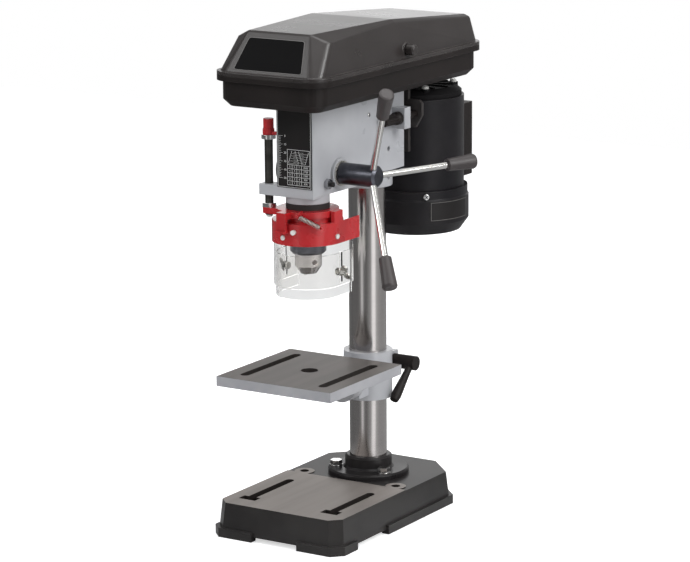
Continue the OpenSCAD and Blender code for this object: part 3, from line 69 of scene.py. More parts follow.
camera = bpy.data.objects.new("camera", bpy.data.cameras.new("camera"))
bpy.context.scene.collection.objects.link(camera)
camera.data.sensor_width = SENSOR
camera.data.lens = FOCAL_PIXELS * SENSOR / PHOTO_WIDTH
camera.data.clip_end = 50.0
axes = Matrix((right, up, back)).transposed()
camera.matrix_world = Matrix.Translation(AIM + back * DISTANCE) @ axes.to_4x4()
bpy.context.scene.camera = camera
print("lens", round(camera.data.lens, 1), "mm")

# %% [markdown]
# ## Studio
# A product photograph like this has big soft lamps and a white sweep. Large area lamps give the broad highlights
# on the cover. The white behind the drill is seen by the camera only, so it adds no light to the object. What the
# shiny pieces mirror is the room: a ramp round the compass has the dark walls and the bright windows, and the
# ceiling and the floor close by are bright all round.

# %% Room: how bright a mirror finds each compass direction
scene = bpy.context.scene
scene.view_settings.view_transform = "Standard"

# Share of a turn from the front, round by the left, the back and the right, with the brightness there
ROOM = ((0.00, 0.80), (0.014, 0.80), (0.045, 0.22), (0.085, 0.15), (0.20, 0.17), (0.32, 0.20), (0.42, 0.30),
        (0.55, 0.38), (0.70, 0.33), (0.75, 0.42), (0.79, 1.08), (0.82, 1.08), (0.86, 0.34), (0.94, 0.16),
        (0.975, 0.25), (1.0, 0.80))
STEEP = (0.70, 0.92)
OVERHEAD = (0.95, 0.95, 0.95)
room = bpy.data.node_groups.new("room", "ShaderNodeTree")
room.interface.new_socket("Direction", in_out="INPUT", socket_type="NodeSocketVector")
room.interface.new_socket("Light", in_out="OUTPUT", socket_type="NodeSocketColor")
inlet, outlet = room.nodes.new("NodeGroupInput"), room.nodes.new("NodeGroupOutput")
unit = room.nodes.new("ShaderNodeVectorMath")
unit.operation = "NORMALIZE"
parts = room.nodes.new("ShaderNodeSeparateXYZ")
compass = room.nodes.new("ShaderNodeMath")
compass.operation = "ARCTAN2"
turn = room.nodes.new("ShaderNodeMapRange")
turn.inputs["From Min"].default_value = -math.pi
turn.inputs["From Max"].default_value = math.pi
ramp = room.nodes.new("ShaderNodeValToRGB")
ramp.color_ramp.interpolation = "EASE"
while len(ramp.color_ramp.elements) < len(ROOM):
    ramp.color_ramp.elements.new(0.5)
for stop, (share, light) in zip(ramp.color_ramp.elements, ROOM):
    stop.position = share
    stop.color = (light, light, light, 1.0)
slope = room.nodes.new("ShaderNodeMath")
slope.operation = "ABSOLUTE"
steep = room.nodes.new("ShaderNodeMapRange")
steep.interpolation_type = "SMOOTHSTEP"
steep.inputs["From Min"].default_value, steep.inputs["From Max"].default_value = STEEP
above = room.nodes.new("ShaderNodeMix")
above.data_type = "RGBA"
above.inputs[7].default_value = (*OVERHEAD, 1.0)
room.links.new(inlet.outputs["Direction"], unit.inputs[0])
room.links.new(unit.outputs[0], parts.inputs[0])
room.links.new(parts.outputs["Z"], slope.inputs[0])
room.links.new(slope.outputs[0], steep.inputs["Value"])
room.links.new(steep.outputs["Result"], above.inputs["Factor"])
room.links.new(parts.outputs["X"], compass.inputs[0])
room.links.new(parts.outputs["Y"], compass.inputs[1])
room.links.new(compass.outputs[0], turn.inputs["Value"])
room.links.new(turn.outputs["Result"], ramp.inputs["Fac"])
room.links.new(ramp.outputs["Color"], above.inputs[6])
room.links.new(above.outputs[2], outlet.inputs["Light"])
print("room has", len(ROOM), "stops")

# %% World
AMBIENT = 0.42
world = bpy.data.worlds.new("studio")
scene.world = world
world.use_nodes = True
tree = world.node_tree
tree.nodes.clear()
rays = tree.nodes.new("ShaderNodeLightPath")
seen = tree.nodes.new("ShaderNodeMath")
seen.operation = "MAXIMUM"
tree.links.new(rays.outputs["Is Camera Ray"], seen.inputs[0])
tree.links.new(rays.outputs["Is Transmission Ray"], seen.inputs[1])
direction = tree.nodes.new("ShaderNodeTexCoord")
around = tree.nodes.new("ShaderNodeGroup")
around.node_tree = room
tree.links.new(direction.outputs["Generated"], around.inputs["Direction"])
ambient = tree.nodes.new("ShaderNodeBackground")
ambient.inputs["Color"].default_value = (0.95, 0.97, 1.0, 1.0)
ambient.inputs["Strength"].default_value = AMBIENT
mirrored = tree.nodes.new("ShaderNodeBackground")
tree.links.new(around.outputs["Light"], mirrored.inputs["Color"])
white = tree.nodes.new("ShaderNodeBackground")
white.inputs["Color"].default_value = (1.0, 1.0, 1.0, 1.0)
shiny = tree.nodes.new("ShaderNodeMixShader")
tree.links.new(rays.outputs["Is Glossy Ray"], shiny.inputs[0])
tree.links.new(ambient.outputs[0], shiny.inputs[1])
tree.links.new(mirrored.outputs[0], shiny.inputs[2])
pick = tree.nodes.new("ShaderNodeMixShader")
out = tree.nodes.new("ShaderNodeOutputWorld")
tree.links.new(seen.outputs[0], pick.inputs[0])
tree.links.new(shiny.outputs[0], pick.inputs[1])
tree.links.new(white.outputs[0], pick.inputs[2])
tree.links.new(pick.outputs[0], out.inputs["Surface"])
print("world", len(tree.nodes), "nodes")

# %% Floor
FLOOR_SIZE = 5.0
FLOOR_GLOW = 0.60
EYE = 0.3                        # height that the floor is mirrored from
floor_mesh = bpy.data.meshes.new("floor")
bm = bmesh.new()
bmesh.ops.create_grid(bm, x_segments=1, y_segments=1, size=FLOOR_SIZE / 2)
bm.to_mesh(floor_mesh)
bm.free()
floor = bpy.data.objects.new("floor", floor_mesh)
scene.collection.objects.link(floor)
floor.location.z = -0.0005
floor_paint = bpy.data.materials.new("floor_white")
floor_paint.use_nodes = True
tree = floor_paint.node_tree
body = tree.nodes["Principled BSDF"]
body.inputs["Roughness"].default_value = 0.9
body.inputs["Specular IOR Level"].default_value = 0.1
rays = tree.nodes.new("ShaderNodeLightPath")
glow = tree.nodes.new("ShaderNodeMath")
glow.operation = "MULTIPLY"
glow.inputs[1].default_value = FLOOR_GLOW
tree.links.new(rays.outputs["Is Camera Ray"], glow.inputs[0])
mirrored = tree.nodes.new("ShaderNodeMath")
mirrored.operation = "SUBTRACT"
mirrored.use_clamp = True
tree.links.new(rays.outputs["Is Glossy Ray"], mirrored.inputs[0])
tree.links.new(rays.outputs["Is Transmission Ray"], mirrored.inputs[1])
body.inputs["Emission Color"].default_value = (1.0, 1.0, 1.0, 1.0)
tree.links.new(glow.outputs[0], body.inputs["Emission Strength"])
where = tree.nodes.new("ShaderNodeTexCoord")
around = tree.nodes.new("ShaderNodeGroup")
around.node_tree = room
down = tree.nodes.new("ShaderNodeVectorMath")
down.operation = "SUBTRACT"
down.inputs[1].default_value = (0.0, 0.0, EYE)
tree.links.new(where.outputs["Object"], down.inputs[0])
tree.links.new(down.outputs[0], around.inputs["Direction"])
# Seen by shiny pieces, the floor's colour is the room's brightness round the compass: a painted reflection of the
# room.
sheet = tree.nodes.new("ShaderNodeMix")
sheet.data_type = "RGBA"
sheet.inputs[6].default_value = (0.86, 0.86, 0.86, 1.0)
tree.links.new(mirrored.outputs[0], sheet.inputs["Factor"])
tree.links.new(around.outputs["Light"], sheet.inputs[7])
tree.links.new(sheet.outputs[2], body.inputs["Base Color"])
floor.data.materials.append(floor_paint)
print("floor", FLOOR_SIZE, "m wide")


# %% Lamps
def soft_lamp(name, place, target, size, watts):
    lamp = bpy.data.lights.new(name, "AREA")
    lamp.shape = "RECTANGLE"
    lamp.size, lamp.size_y = size
    lamp.energy = watts
    holder = bpy.data.objects.new(name, lamp)
    scene.collection.objects.link(holder)
    holder.location = place
    holder.rotation_euler = (Vector(target) - Vector(place)).to_track_quat("-Z", "Y").to_euler()


MIDDLE = (0.0, 0.0, 0.32)
soft_lamp("key_lamp", (-1.3, -2.0, 1.9), MIDDLE, (1.4, 1.4), 25.0)
soft_lamp("right_lamp", (2.2, -0.1, 1.75), MIDDLE, (0.8, 1.6), 40.0)
soft_lamp("top_lamp", (0.1, 0.2, 2.6), MIDDLE, (1.8, 1.8), 23.5)
soft_lamp("rear_lamp", (-0.8, 2.2, 0.78), MIDDLE, (1.6, 0.6), 4.5)
print("lamps", len(bpy.data.lights))

# %% [markdown]
# ## Node groups
# Three effects turn up on nearly every surface. A soft edge rounds the corners of the shading and finds the
# corners, where paint would wear and where a painted highlight is laid. A grain gives mottled colour and a fine
# bump. A lay stretches noise into the lines that grinding, turning or milling leaves. Each is one group with its
# own sockets, used with different values.


# %% Helpers for node trees
def new_group(name, inputs, outputs):
    group = bpy.data.node_groups.new(name, "ShaderNodeTree")
    for label, kind, value in inputs:
        socket = group.interface.new_socket(label, in_out="INPUT", socket_type=kind)
        socket.default_value = value
    for label, kind in outputs:
        group.interface.new_socket(label, in_out="OUTPUT", socket_type=kind)
    return group, group.nodes.new("NodeGroupInput"), group.nodes.new("NodeGroupOutput")


def add_math(tree, operation, first, second):
    node = tree.nodes.new("ShaderNodeMath")
    node.operation = operation
    for socket, value in zip(node.inputs, (first, second)):
        if isinstance(value, (int, float)):
            socket.default_value = value
        else:
            tree.links.new(value, socket)
    return node.outputs[0]


def add_range(tree, value, low, high, to_low=0.0, to_high=1.0):
    node = tree.nodes.new("ShaderNodeMapRange")
    node.interpolation_type = "SMOOTHSTEP"
    tree.links.new(value, node.inputs["Value"])
    for label, number in (("From Min", low), ("From Max", high), ("To Min", to_low), ("To Max", to_high)):
        node.inputs[label].default_value = number
    return node.outputs["Result"]


def add_mix(tree, factor, first, second):
    node = tree.nodes.new("ShaderNodeMix")
    node.data_type = "RGBA"
    tree.links.new(factor, node.inputs["Factor"])
    for socket, value in ((node.inputs[6], first), (node.inputs[7], second)):
        if isinstance(value, tuple):
            socket.default_value = value
        else:
            tree.links.new(value, socket)
    return node.outputs[2]


# %% Soft edge: rounded shading and a mask of the corners
soft_edge, inlet, outlet = new_group(
    "soft_edge", [("Radius", "NodeSocketFloat", 0.6 * mm)],
    [("Normal", "NodeSocketVector"), ("Edge", "NodeSocketFloat")])
rounding = soft_edge.nodes.new("ShaderNodeBevel")
rounding.samples = 6
soft_edge.links.new(inlet.outputs["Radius"], rounding.inputs["Radius"])
plain = soft_edge.nodes.new("ShaderNodeNewGeometry")
agree = soft_edge.nodes.new("ShaderNodeVectorMath")
agree.operation = "DOT_PRODUCT"
soft_edge.links.new(rounding.outputs[0], agree.inputs[0])
soft_edge.links.new(plain.outputs["Normal"], agree.inputs[1])
soft_edge.links.new(rounding.outputs[0], outlet.inputs["Normal"])
soft_edge.links.new(add_range(soft_edge, agree.outputs["Value"], 0.985, 0.80), outlet.inputs["Edge"])

# %% Grain: mottled tone and a fine bump
grain, inlet, outlet = new_group(
    "grain", [("Fine", "NodeSocketFloat", 900.0), ("Broad", "NodeSocketFloat", 14.0)],
    [("Tone", "NodeSocketFloat"), ("Height", "NodeSocketFloat")])
place = grain.nodes.new("ShaderNodeTexCoord")
for label, output, detail in (("Fine", "Height", 3.0), ("Broad", "Tone", 4.0)):
    noise = grain.nodes.new("ShaderNodeTexNoise")
    noise.inputs["Detail"].default_value = detail
    grain.links.new(place.outputs["Object"], noise.inputs["Vector"])
    grain.links.new(inlet.outputs[label], noise.inputs["Scale"])
    grain.links.new(noise.outputs["Fac"], outlet.inputs[output])

# %% Lay: the fine parallel lines of a machined surface
lay, inlet, outlet = new_group(
    "lay", [("Stretch", "NodeSocketVector", (1.0, 1.0, 1.0)), ("Lines", "NodeSocketFloat", 300.0)],
    [("Tone", "NodeSocketFloat"), ("Height", "NodeSocketFloat")])
place = lay.nodes.new("ShaderNodeTexCoord")
pull = lay.nodes.new("ShaderNodeVectorMath")
pull.operation = "MULTIPLY"
lay.links.new(place.outputs["Object"], pull.inputs[0])
lay.links.new(inlet.outputs["Stretch"], pull.inputs[1])
for output, detail, ratio in (("Height", 2.0, 1.0), ("Tone", 4.0, 0.12)):
    noise = lay.nodes.new("ShaderNodeTexNoise")
    noise.inputs["Detail"].default_value = detail
    lay.links.new(pull.outputs[0], noise.inputs["Vector"])
    lay.links.new(add_math(lay, "MULTIPLY", inlet.outputs["Lines"], ratio), noise.inputs["Scale"])
    lay.links.new(noise.outputs["Fac"], outlet.inputs[output])
print("groups", [g.name for g in bpy.data.node_groups])

# %% [markdown]
# ## Finishes
# Colours are written as they are read off a screen and turned into the linear values that shaders use. Each
# finish is a Principled shader whose colour, roughness and normal come from the groups. Paint is smooth with a
# slight orange peel, moulded plastic has an even grain, and bare metal shows the lines of the tool.


# %% Material helpers
def tone(red, green, blue):
    def linear(value):
        value /= 255.0
        return value / 12.92 if value <= 0.04045 else ((value + 0.055) / 1.055) ** 2.4
    return (linear(red), linear(green), linear(blue), 1.0)


def new_material(name):
    material = bpy.data.materials.new(name)
    material.use_nodes = True
    return material, material.node_tree, material.node_tree.nodes["Principled BSDF"]


def add_group(tree, group, **values):
    node = tree.nodes.new("ShaderNodeGroup")
    node.node_tree = group
    for label, value in values.items():
        node.inputs[label].default_value = value
    return node


def add_bump(tree, shader, height, strength, depth, edge):
    bump = tree.nodes.new("ShaderNodeBump")
    bump.inputs["Strength"].default_value = strength
    bump.inputs["Distance"].default_value = depth
    tree.links.new(height, bump.inputs["Height"])
    tree.links.new(edge.outputs["Normal"], bump.inputs["Normal"])
    tree.links.new(bump.outputs["Normal"], shader.inputs["Normal"])


# %% Paint and plastic: a coloured skin with grain, and lighter corners that are partly wear and partly painted highlight
def skin(name, dark, light, rough, fine=900.0, depth=0.04 * mm, corner=None, radius=0.7 * mm, coat=0.0, gloss=0.5,
         spread=0.055):
    material, tree, shader = new_material(name)
    mottle = add_group(tree, grain, Fine=fine, Broad=14.0)
    edge = add_group(tree, soft_edge, Radius=radius)
    colour = add_mix(tree, add_range(tree, mottle.outputs["Tone"], 0.3, 0.7), dark, light)
    patchy = add_range(tree, mottle.outputs["Tone"], 0.35, 0.65, 0.2, 0.7)
    # Corners take the lighter corner colour: partly paint wear, partly a painted highlight along the edges.
    wear_and_highlight = add_math(tree, "MULTIPLY", edge.outputs["Edge"], patchy)
    colour = add_mix(tree, wear_and_highlight, colour, corner or light)
    tree.links.new(colour, shader.inputs["Base Color"])
    sheen = add_range(tree, mottle.outputs["Tone"], 0.25, 0.75, rough - spread, rough + spread)
    tree.links.new(sheen, shader.inputs["Roughness"])
    shader.inputs["Coat Weight"].default_value = coat
    shader.inputs["Specular IOR Level"].default_value = gloss
    add_bump(tree, shader, mottle.outputs["Height"], 0.6, depth, edge)
    return material


cover_plastic = skin("cover_plastic", tone(45, 41, 40), tone(51, 47, 46), 0.28, fine=1500.0, depth=0.02 * mm,
                     corner=tone(96, 91, 88), radius=1.6 * mm, gloss=0.48, spread=0.01)
tub_plastic = skin("tub_plastic", tone(29, 25, 24), tone(35, 30, 29), 0.46, fine=1500.0, depth=0.05 * mm,
                   corner=tone(78, 73, 70), radius=1.6 * mm, gloss=0.20)
handle_plastic = skin("handle_plastic", tone(57, 52, 52), tone(71, 65, 64), 0.46, fine=1300.0, depth=0.05 * mm,
                      corner=tone(96, 90, 86), radius=0.8 * mm)
black_paint = skin("black_paint", tone(32, 30, 31), tone(42, 40, 40), 0.30, fine=420.0, depth=0.03 * mm,
                   corner=tone(78, 75, 72), radius=0.9 * mm, gloss=0.23)
motor_paint = skin("motor_paint", tone(24, 23, 26), tone(32, 30, 32), 0.38, fine=700.0, depth=0.03 * mm,
                   corner=tone(78, 75, 73), radius=0.9 * mm, gloss=0.21)
bracket_paint = skin("bracket_paint", tone(52, 49, 48), tone(62, 59, 58), 0.45, fine=700.0, depth=0.03 * mm,
                     gloss=0.3)
grey_paint = skin("grey_paint", tone(169, 170, 174), tone(180, 181, 184), 0.32, fine=380.0, depth=0.02 * mm,
                  corner=tone(194, 195, 198), radius=1.0 * mm, coat=0.2)
red_paint = skin("red_paint", tone(168, 24, 30), tone(186, 32, 37), 0.26, fine=380.0, depth=0.02 * mm,
                 corner=tone(216, 84, 80), radius=0.6 * mm, coat=0.25)
red_plastic = skin("red_plastic", tone(178, 28, 34), tone(196, 40, 44), 0.34, depth=0.01 * mm, radius=0.5 * mm)
green_plastic = skin("green_plastic", tone(34, 122, 62), tone(44, 138, 72), 0.34, depth=0.01 * mm, radius=0.5 * mm)
cap_plastic = skin("cap_plastic", tone(24, 23, 24), tone(30, 29, 30), 0.60, gloss=0.05)
# Screw heads: a pale zinc colour raised to near white as a non-metal, a painted glint for the bright reflections of
# plated metal.
screw_zinc = skin("screw_zinc", tone(212, 211, 207), tone(226, 225, 221), 0.25, depth=0.01 * mm, radius=0.4 * mm,
                  coat=0.3)
rubber = skin("rubber", tone(30, 28, 28), tone(40, 38, 37), 0.7, fine=1100.0, depth=0.06 * mm, radius=0.5 * mm)
label_black = skin("label_black", tone(22, 20, 20), tone(28, 25, 25), 0.42, depth=0.005 * mm, radius=0.2 * mm,
                   gloss=0.3)
panel_black = skin("panel_black", tone(6, 6, 7), tone(9, 8, 9), 0.50, depth=0.005 * mm, radius=0.2 * mm,
                   gloss=0.07)
border_ink = skin("border_ink", tone(104, 102, 100), tone(116, 113, 111), 0.5, depth=0.005 * mm, radius=0.05 * mm)
white_ink = skin("white_ink", tone(205, 205, 204), tone(222, 222, 220), 0.5, depth=0.005 * mm, radius=0.05 * mm)


# %% Bare metal: tone and roughness follow the lines the tool left
def metal(name, dark, light, rough, stretch, lines=300.0, depth=0.01 * mm, radius=0.5 * mm, spread=0.06):
    material, tree, shader = new_material(name)
    shader.inputs["Metallic"].default_value = 1.0
    tooling = add_group(tree, lay, Stretch=stretch, Lines=lines)
    edge = add_group(tree, soft_edge, Radius=radius)
    colour = add_mix(tree, add_range(tree, tooling.outputs["Tone"], 0.3, 0.7), dark, light)
    tree.links.new(colour, shader.inputs["Base Color"])
    sheen = add_range(tree, tooling.outputs["Height"], 0.3, 0.7, rough - spread, rough + spread)
    tree.links.new(sheen, shader.inputs["Roughness"])
    add_bump(tree, shader, tooling.outputs["Height"], 0.4, depth, edge)
    return material


EVEN = (1.0, 1.0, 1.0)
ROUND_Z = (0.06, 0.06, 1.0)
column_steel = metal("column_steel", tone(188, 184, 182), tone(191, 187, 185), 0.17, ROUND_Z, lines=2400.0,
                     depth=0.0002 * mm, spread=0.01)
turned_steel = metal("turned_steel", tone(178, 176, 174), tone(186, 184, 182), 0.27, ROUND_Z, lines=1800.0,
                     depth=0.001 * mm, spread=0.03)
lever_steel = metal("lever_steel", tone(226, 225, 222), tone(236, 235, 232), 0.17, EVEN, lines=160.0,
                    depth=0.001 * mm, spread=0.02)
black_oxide = metal("black_oxide", tone(76, 74, 71), tone(92, 90, 86), 0.40, ROUND_Z, lines=1000.0,
                    depth=0.08 * mm)
bright_steel = metal("bright_steel", tone(216, 215, 214), tone(232, 231, 230), 0.08, EVEN, lines=160.0,
                     depth=0.001 * mm, spread=0.03)
zinc = metal("zinc", tone(178, 176, 170), tone(206, 204, 198), 0.30, EVEN, lines=420.0)
dark_steel = metal("dark_steel", tone(72, 73, 79), tone(92, 93, 100), 0.36, EVEN, lines=500.0)
aluminium = metal("aluminium", tone(186, 187, 188), tone(208, 209, 210), 0.32, ROUND_Z, lines=1400.0)
print("materials", len(bpy.data.materials))

# %% [markdown]
# The table is painted grey and then milled on top; the base is black with a milled pad. One material holds both
# looks, and a mask on the surface direction and the height picks between them. The direction is read in the
# piece's own frame, so a tilted table keeps its milled face. The walls of slots and holes inside the rim are
# darkened with painted shade.


# %% Castings with a machined top
# Painted shade for the walls of slots and holes.
SLOT_SHADE = tone(46, 42, 40)


def milled_casting(name, paint_dark, paint_light, metal_dark, metal_light, node, rim, wall_h, rough):
    material, tree, shader = new_material(name)
    low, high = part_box(node)
    above = high.z - 0.5 * mm
    mottle = add_group(tree, grain, Fine=420.0, Broad=16.0)
    cutter = add_group(tree, lay, Stretch=(1.0, 0.05, 1.0), Lines=520.0)
    edge = add_group(tree, soft_edge, Radius=0.9 * mm)
    where = tree.nodes.new("ShaderNodeTexCoord")
    facing = tree.nodes.new("ShaderNodeSeparateXYZ")
    tree.links.new(where.outputs["Normal"], facing.inputs[0])
    place = tree.nodes.new("ShaderNodeSeparateXYZ")
    tree.links.new(where.outputs["Object"], place.inputs[0])
    upward = add_range(tree, facing.outputs["Z"], 0.90, 0.97)
    top = add_range(tree, place.outputs["Z"], above - 0.2 * mm, above)
    milled = add_math(tree, "MULTIPLY", upward, top)
    slot = add_range(tree, place.outputs["Z"], high.z - wall_h - 0.1 * mm, high.z - wall_h)
    for axis in "xy":
        middle = (getattr(low, axis) + getattr(high, axis)) / 2
        reach = (getattr(high, axis) - getattr(low, axis)) / 2 - rim
        away = add_math(tree, "SUBTRACT", place.outputs[axis.upper()], middle)
        away = add_math(tree, "ABSOLUTE", away, 0.0)
        slot = add_math(tree, "MULTIPLY", slot, add_range(tree, away, reach, reach - 1.0 * mm))
    level = add_math(tree, "ABSOLUTE", facing.outputs["Z"], 0.0)
    slot = add_math(tree, "MULTIPLY", slot, add_range(tree, level, 0.5, 0.3))
    paint = add_mix(tree, add_range(tree, mottle.outputs["Tone"], 0.3, 0.7), paint_dark, paint_light)
    # Walls of slots and holes inside the rim: painted shade in the recesses.
    paint = add_mix(tree, slot, paint, SLOT_SHADE)
    bare = add_mix(tree, add_range(tree, cutter.outputs["Tone"], 0.3, 0.7), metal_dark, metal_light)
    bare = add_mix(tree, add_range(tree, mottle.outputs["Tone"], 0.55, 0.8, 0.0, 0.35), bare, metal_dark)
    tree.links.new(add_mix(tree, milled, paint, bare), shader.inputs["Base Color"])
    tree.links.new(add_range(tree, milled, 0.0, 1.0, 0.0, 0.45), shader.inputs["Metallic"])
    tree.links.new(add_range(tree, milled, 0.0, 1.0, 0.36, rough), shader.inputs["Roughness"])
    shader.inputs["Specular IOR Level"].default_value = 0.24
    lines = add_math(tree, "MULTIPLY", cutter.outputs["Height"], milled)
    add_bump(tree, shader, add_math(tree, "ADD", lines, mottle.outputs["Height"]), 0.5, 0.03 * mm, edge)
    return material


table_iron = milled_casting("table_iron", tone(156, 156, 160), tone(168, 168, 171), tone(104, 100, 97),
                            tone(113, 108, 105), "table_plate", 8 * mm, 14 * mm, 0.46)
base_iron = milled_casting("base_iron", tone(38, 36, 36), tone(48, 46, 45), tone(140, 134, 129),
                           tone(151, 144, 139), "base_casting", 12 * mm, 14 * mm, 0.48)
print("castings", table_iron.name, base_iron.name)

# %% [markdown]
# One node holds the quill's guide screw with its chrome nut, and the black set screws that grip the column. Where
# a point lies tells which one it is on.


# %% Chrome nut and black screws
def screw_steel(name, nut_middle, nut_reach, grub_r):
    material, tree, shader = new_material(name)
    where = tree.nodes.new("ShaderNodeTexCoord")
    away = tree.nodes.new("ShaderNodeVectorMath")
    away.operation = "SUBTRACT"
    away.inputs[1].default_value = nut_middle
    flat = tree.nodes.new("ShaderNodeVectorMath")
    flat.operation = "MULTIPLY"
    flat.inputs[1].default_value = (0.0, 1.0, 1.0)
    reach = tree.nodes.new("ShaderNodeVectorMath")
    reach.operation = "LENGTH"
    tree.links.new(where.outputs["Object"], away.inputs[0])
    tree.links.new(away.outputs[0], flat.inputs[0])
    tree.links.new(flat.outputs[0], reach.inputs[0])
    near = add_range(tree, reach.outputs["Value"], nut_reach + 0.1 * mm, nut_reach)
    outside = add_range(tree, reach.outputs["Value"], grub_r, grub_r + 0.1 * mm)
    chrome = add_math(tree, "MULTIPLY", near, outside)
    tree.links.new(add_mix(tree, chrome, tone(12, 12, 13), tone(172, 172, 175)), shader.inputs["Base Color"])
    tree.links.new(chrome, shader.inputs["Metallic"])
    tree.links.new(add_range(tree, chrome, 0.0, 1.0, 0.42, 0.14), shader.inputs["Roughness"])
    edge = add_group(tree, soft_edge, Radius=0.8 * mm)
    tree.links.new(edge.outputs["Normal"], shader.inputs["Normal"])
    return material


guide_nut = Vector((0.0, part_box("quill_sleeve")[0].y + 20 * mm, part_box("scale_plate")[0].z + 3.5 * mm))
guide_steel = screw_steel("guide_steel", guide_nut, 9 * mm, 3.3 * mm)


# %% Clear guard plastic
def clear_sheet(name):
    material, tree, shader = new_material(name)
    mottle = add_group(tree, grain, Fine=60.0, Broad=20.0)
    shader.inputs["Base Color"].default_value = (0.965, 0.96, 0.95, 1.0)
    shader.inputs["Transmission Weight"].default_value = 1.0
    shader.inputs["IOR"].default_value = 1.30
    tree.links.new(add_range(tree, mottle.outputs["Tone"], 0.3, 0.7, 0.01, 0.05), shader.inputs["Roughness"])
    return material


clear_plastic = clear_sheet("clear_plastic")

# %% [markdown]
# ## Dressing the nodes
# A CAD node keeps its mesh and only changes its material, so this is one list from finish to nodes.

# %% Finish of every node
finishes = {
    base_iron: ["base_casting"],
    table_iron: ["table_plate"],
    black_paint: ["column_flange", "spring_cap"],
    motor_paint: ["motor_housing", "fan_cover"],
    cap_plastic: ["motor_top_cap"],
    bracket_paint: ["motor_bracket"],
    grey_paint: ["head_casting", "table_bracket"],
    red_paint: ["guard_clamp", "guard_ring"],
    red_plastic: ["depth_pointer", "stop_button"],
    green_plastic: ["start_button"],
    cover_plastic: ["lid_shell", "lid_knob"],
    tub_plastic: ["belt_guard_tub", "capacitor_box", "switch_box", "tension_screw", "clamp_lever"],
    handle_plastic: ["lever_grips", "cooling_fan"],
    rubber: ["quill_collar", "drive_belt"],
    label_black: ["scale_plate"],
    column_steel: ["column_tube", "chuck_body"],
    turned_steel: ["quill_sleeve", "quill_bearings", "spindle_shaft", "chuck_jaw_1", "chuck_jaw_2",
                   "chuck_jaw_3", "pinion_shaft", "pulley_bearings", "drive_sleeve", "slide_bars", "motor_shaft"],
    bright_steel: ["flange_bolts", "tub_screws", "depth_nuts"],
    lever_steel: ["feed_levers"],
    screw_zinc: ["guard_screws"],
    black_oxide: ["depth_rod"],
    zinc: ["shaft_washer", "tilt_bolt", "guard_retainer", "guard_spring", "wing_screws", "hinge_pins",
           "return_spring"],
    dark_steel: ["feed_hub", "chuck_sleeve"],
    guide_steel: ["head_screws"],
    aluminium: ["spindle_pulley", "motor_pulley"],
    clear_plastic: ["upper_shield", "lower_shield"],
}
for material, names in finishes.items():
    for name in names:
        nodes[name].data.materials.clear()
        nodes[name].data.materials.append(material)
dressed = {name for names in finishes.values() for name in names}
print("not dressed", sorted(set(nodes) - dressed))

# %% [markdown]
# ## Small pieces
# What is printed, stuck on or too small for the CAD model is made here as mesh. A bmesh starts from one simple
# shape, operators finish it, and the piece then rides on the body that carries it.


# %% Helpers for new pieces
def finish_piece(name, bm, body, material):
    bmesh.ops.recalc_face_normals(bm, faces=bm.faces[:])
    mesh = bpy.data.meshes.new(name)
    bm.to_mesh(mesh)
    bm.free()
    mesh.materials.append(material)
    piece = bpy.data.objects.new(name, mesh)
    scene.collection.objects.link(piece)
    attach(piece, body)
    print(name, len(mesh.polygons), "faces on", body)


def add_block(bm, low, high):
    low, high = Vector(low), Vector(high)
    size = high - low
    place = Matrix.Translation((low + high) / 2) @ Matrix.Diagonal((*size, 1.0))
    bmesh.ops.create_cube(bm, size=1.0, matrix=place)


def add_number(bm, words, size, depth, place):
    curve = bpy.data.curves.new("number", "FONT")
    curve.body, curve.size, curve.extrude = words, size, depth / 2
    curve.align_x, curve.align_y = "CENTER", "CENTER"
    holder = bpy.data.objects.new("number", curve)
    scene.collection.objects.link(holder)
    bpy.context.view_layer.update()
    mesh = bpy.data.meshes.new_from_object(holder)
    mesh.transform(place)
    bm.from_mesh(mesh)
    bpy.data.objects.remove(holder)
    bpy.data.curves.remove(curve)
    bpy.data.meshes.remove(mesh)


# %% [markdown]
# The plate on the front of the head has the depth scale that the pointer slides past, a chart of the five spindle
# speeds and a drawing of the step pulleys. The ink is a film a few hundredths of a millimetre thick, standing on
# the plate.

# %% Depth scale and speed chart
INK = 0.06 * mm
plate_low, plate_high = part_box("scale_plate")
pointer_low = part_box("depth_pointer")[0]
print_y = plate_low.y
zero_z = pointer_low.z + 2.0 * mm
upright_text = Matrix.Rotation(math.pi / 2, 4, "X")


def stroke(bm, x0, x1, z0, z1):
    add_block(bm, (x0, print_y - INK, z0), (x1, print_y + INK, z1))


bm = bmesh.new()
scale_x = plate_low.x + 3.0 * mm
DEPTH_MAX, DEPTH_STEP, DEPTH_LONG = 50, 2, 10
TICK = 0.15 * mm
for depth in range(0, DEPTH_MAX + 1, DEPTH_STEP):
    z = zero_z - depth * mm
    reach = 5.0 * mm if depth % DEPTH_LONG == 0 else 2.6 * mm
    stroke(bm, scale_x, scale_x + reach, z - TICK, z + TICK)
    if depth % DEPTH_LONG == 0:
        spot = Matrix.Translation((scale_x + 8.2 * mm, print_y - INK / 2, z))
        add_number(bm, str(depth), 3.6 * mm, INK, spot @ upright_text)
stroke(bm, scale_x - 0.5 * mm, scale_x - 0.2 * mm, zero_z - DEPTH_MAX * mm, zero_z)

CHART_ROWS = (620, 900, 1300, 1720, 2620)
chart_left, chart_right = plate_low.x + 14.5 * mm, plate_high.x - 2.5 * mm
chart_low, row_h = plate_low.z + 4.0 * mm, 4.8 * mm
chart_high = chart_low + row_h * len(CHART_ROWS)
SHARES = (0.0, 0.21, 0.42, 0.63, 1.0)
edges = [chart_left + share * (chart_right - chart_left) for share in SHARES]
LINE = 0.22 * mm
for row, speed in enumerate(CHART_ROWS):
    z = chart_low + row * row_h
    stroke(bm, chart_left, chart_right, z - LINE, z + LINE)
    for column, number in enumerate((row + 1, row + 1, len(CHART_ROWS) - row, speed)):
        spot = Matrix.Translation(((edges[column] + edges[column + 1]) / 2, print_y - INK / 2, z + row_h / 2))
        add_number(bm, str(number), 3.2 * mm, INK, spot @ upright_text)
for x in edges:
    stroke(bm, x - LINE, x + LINE, chart_low, chart_high)

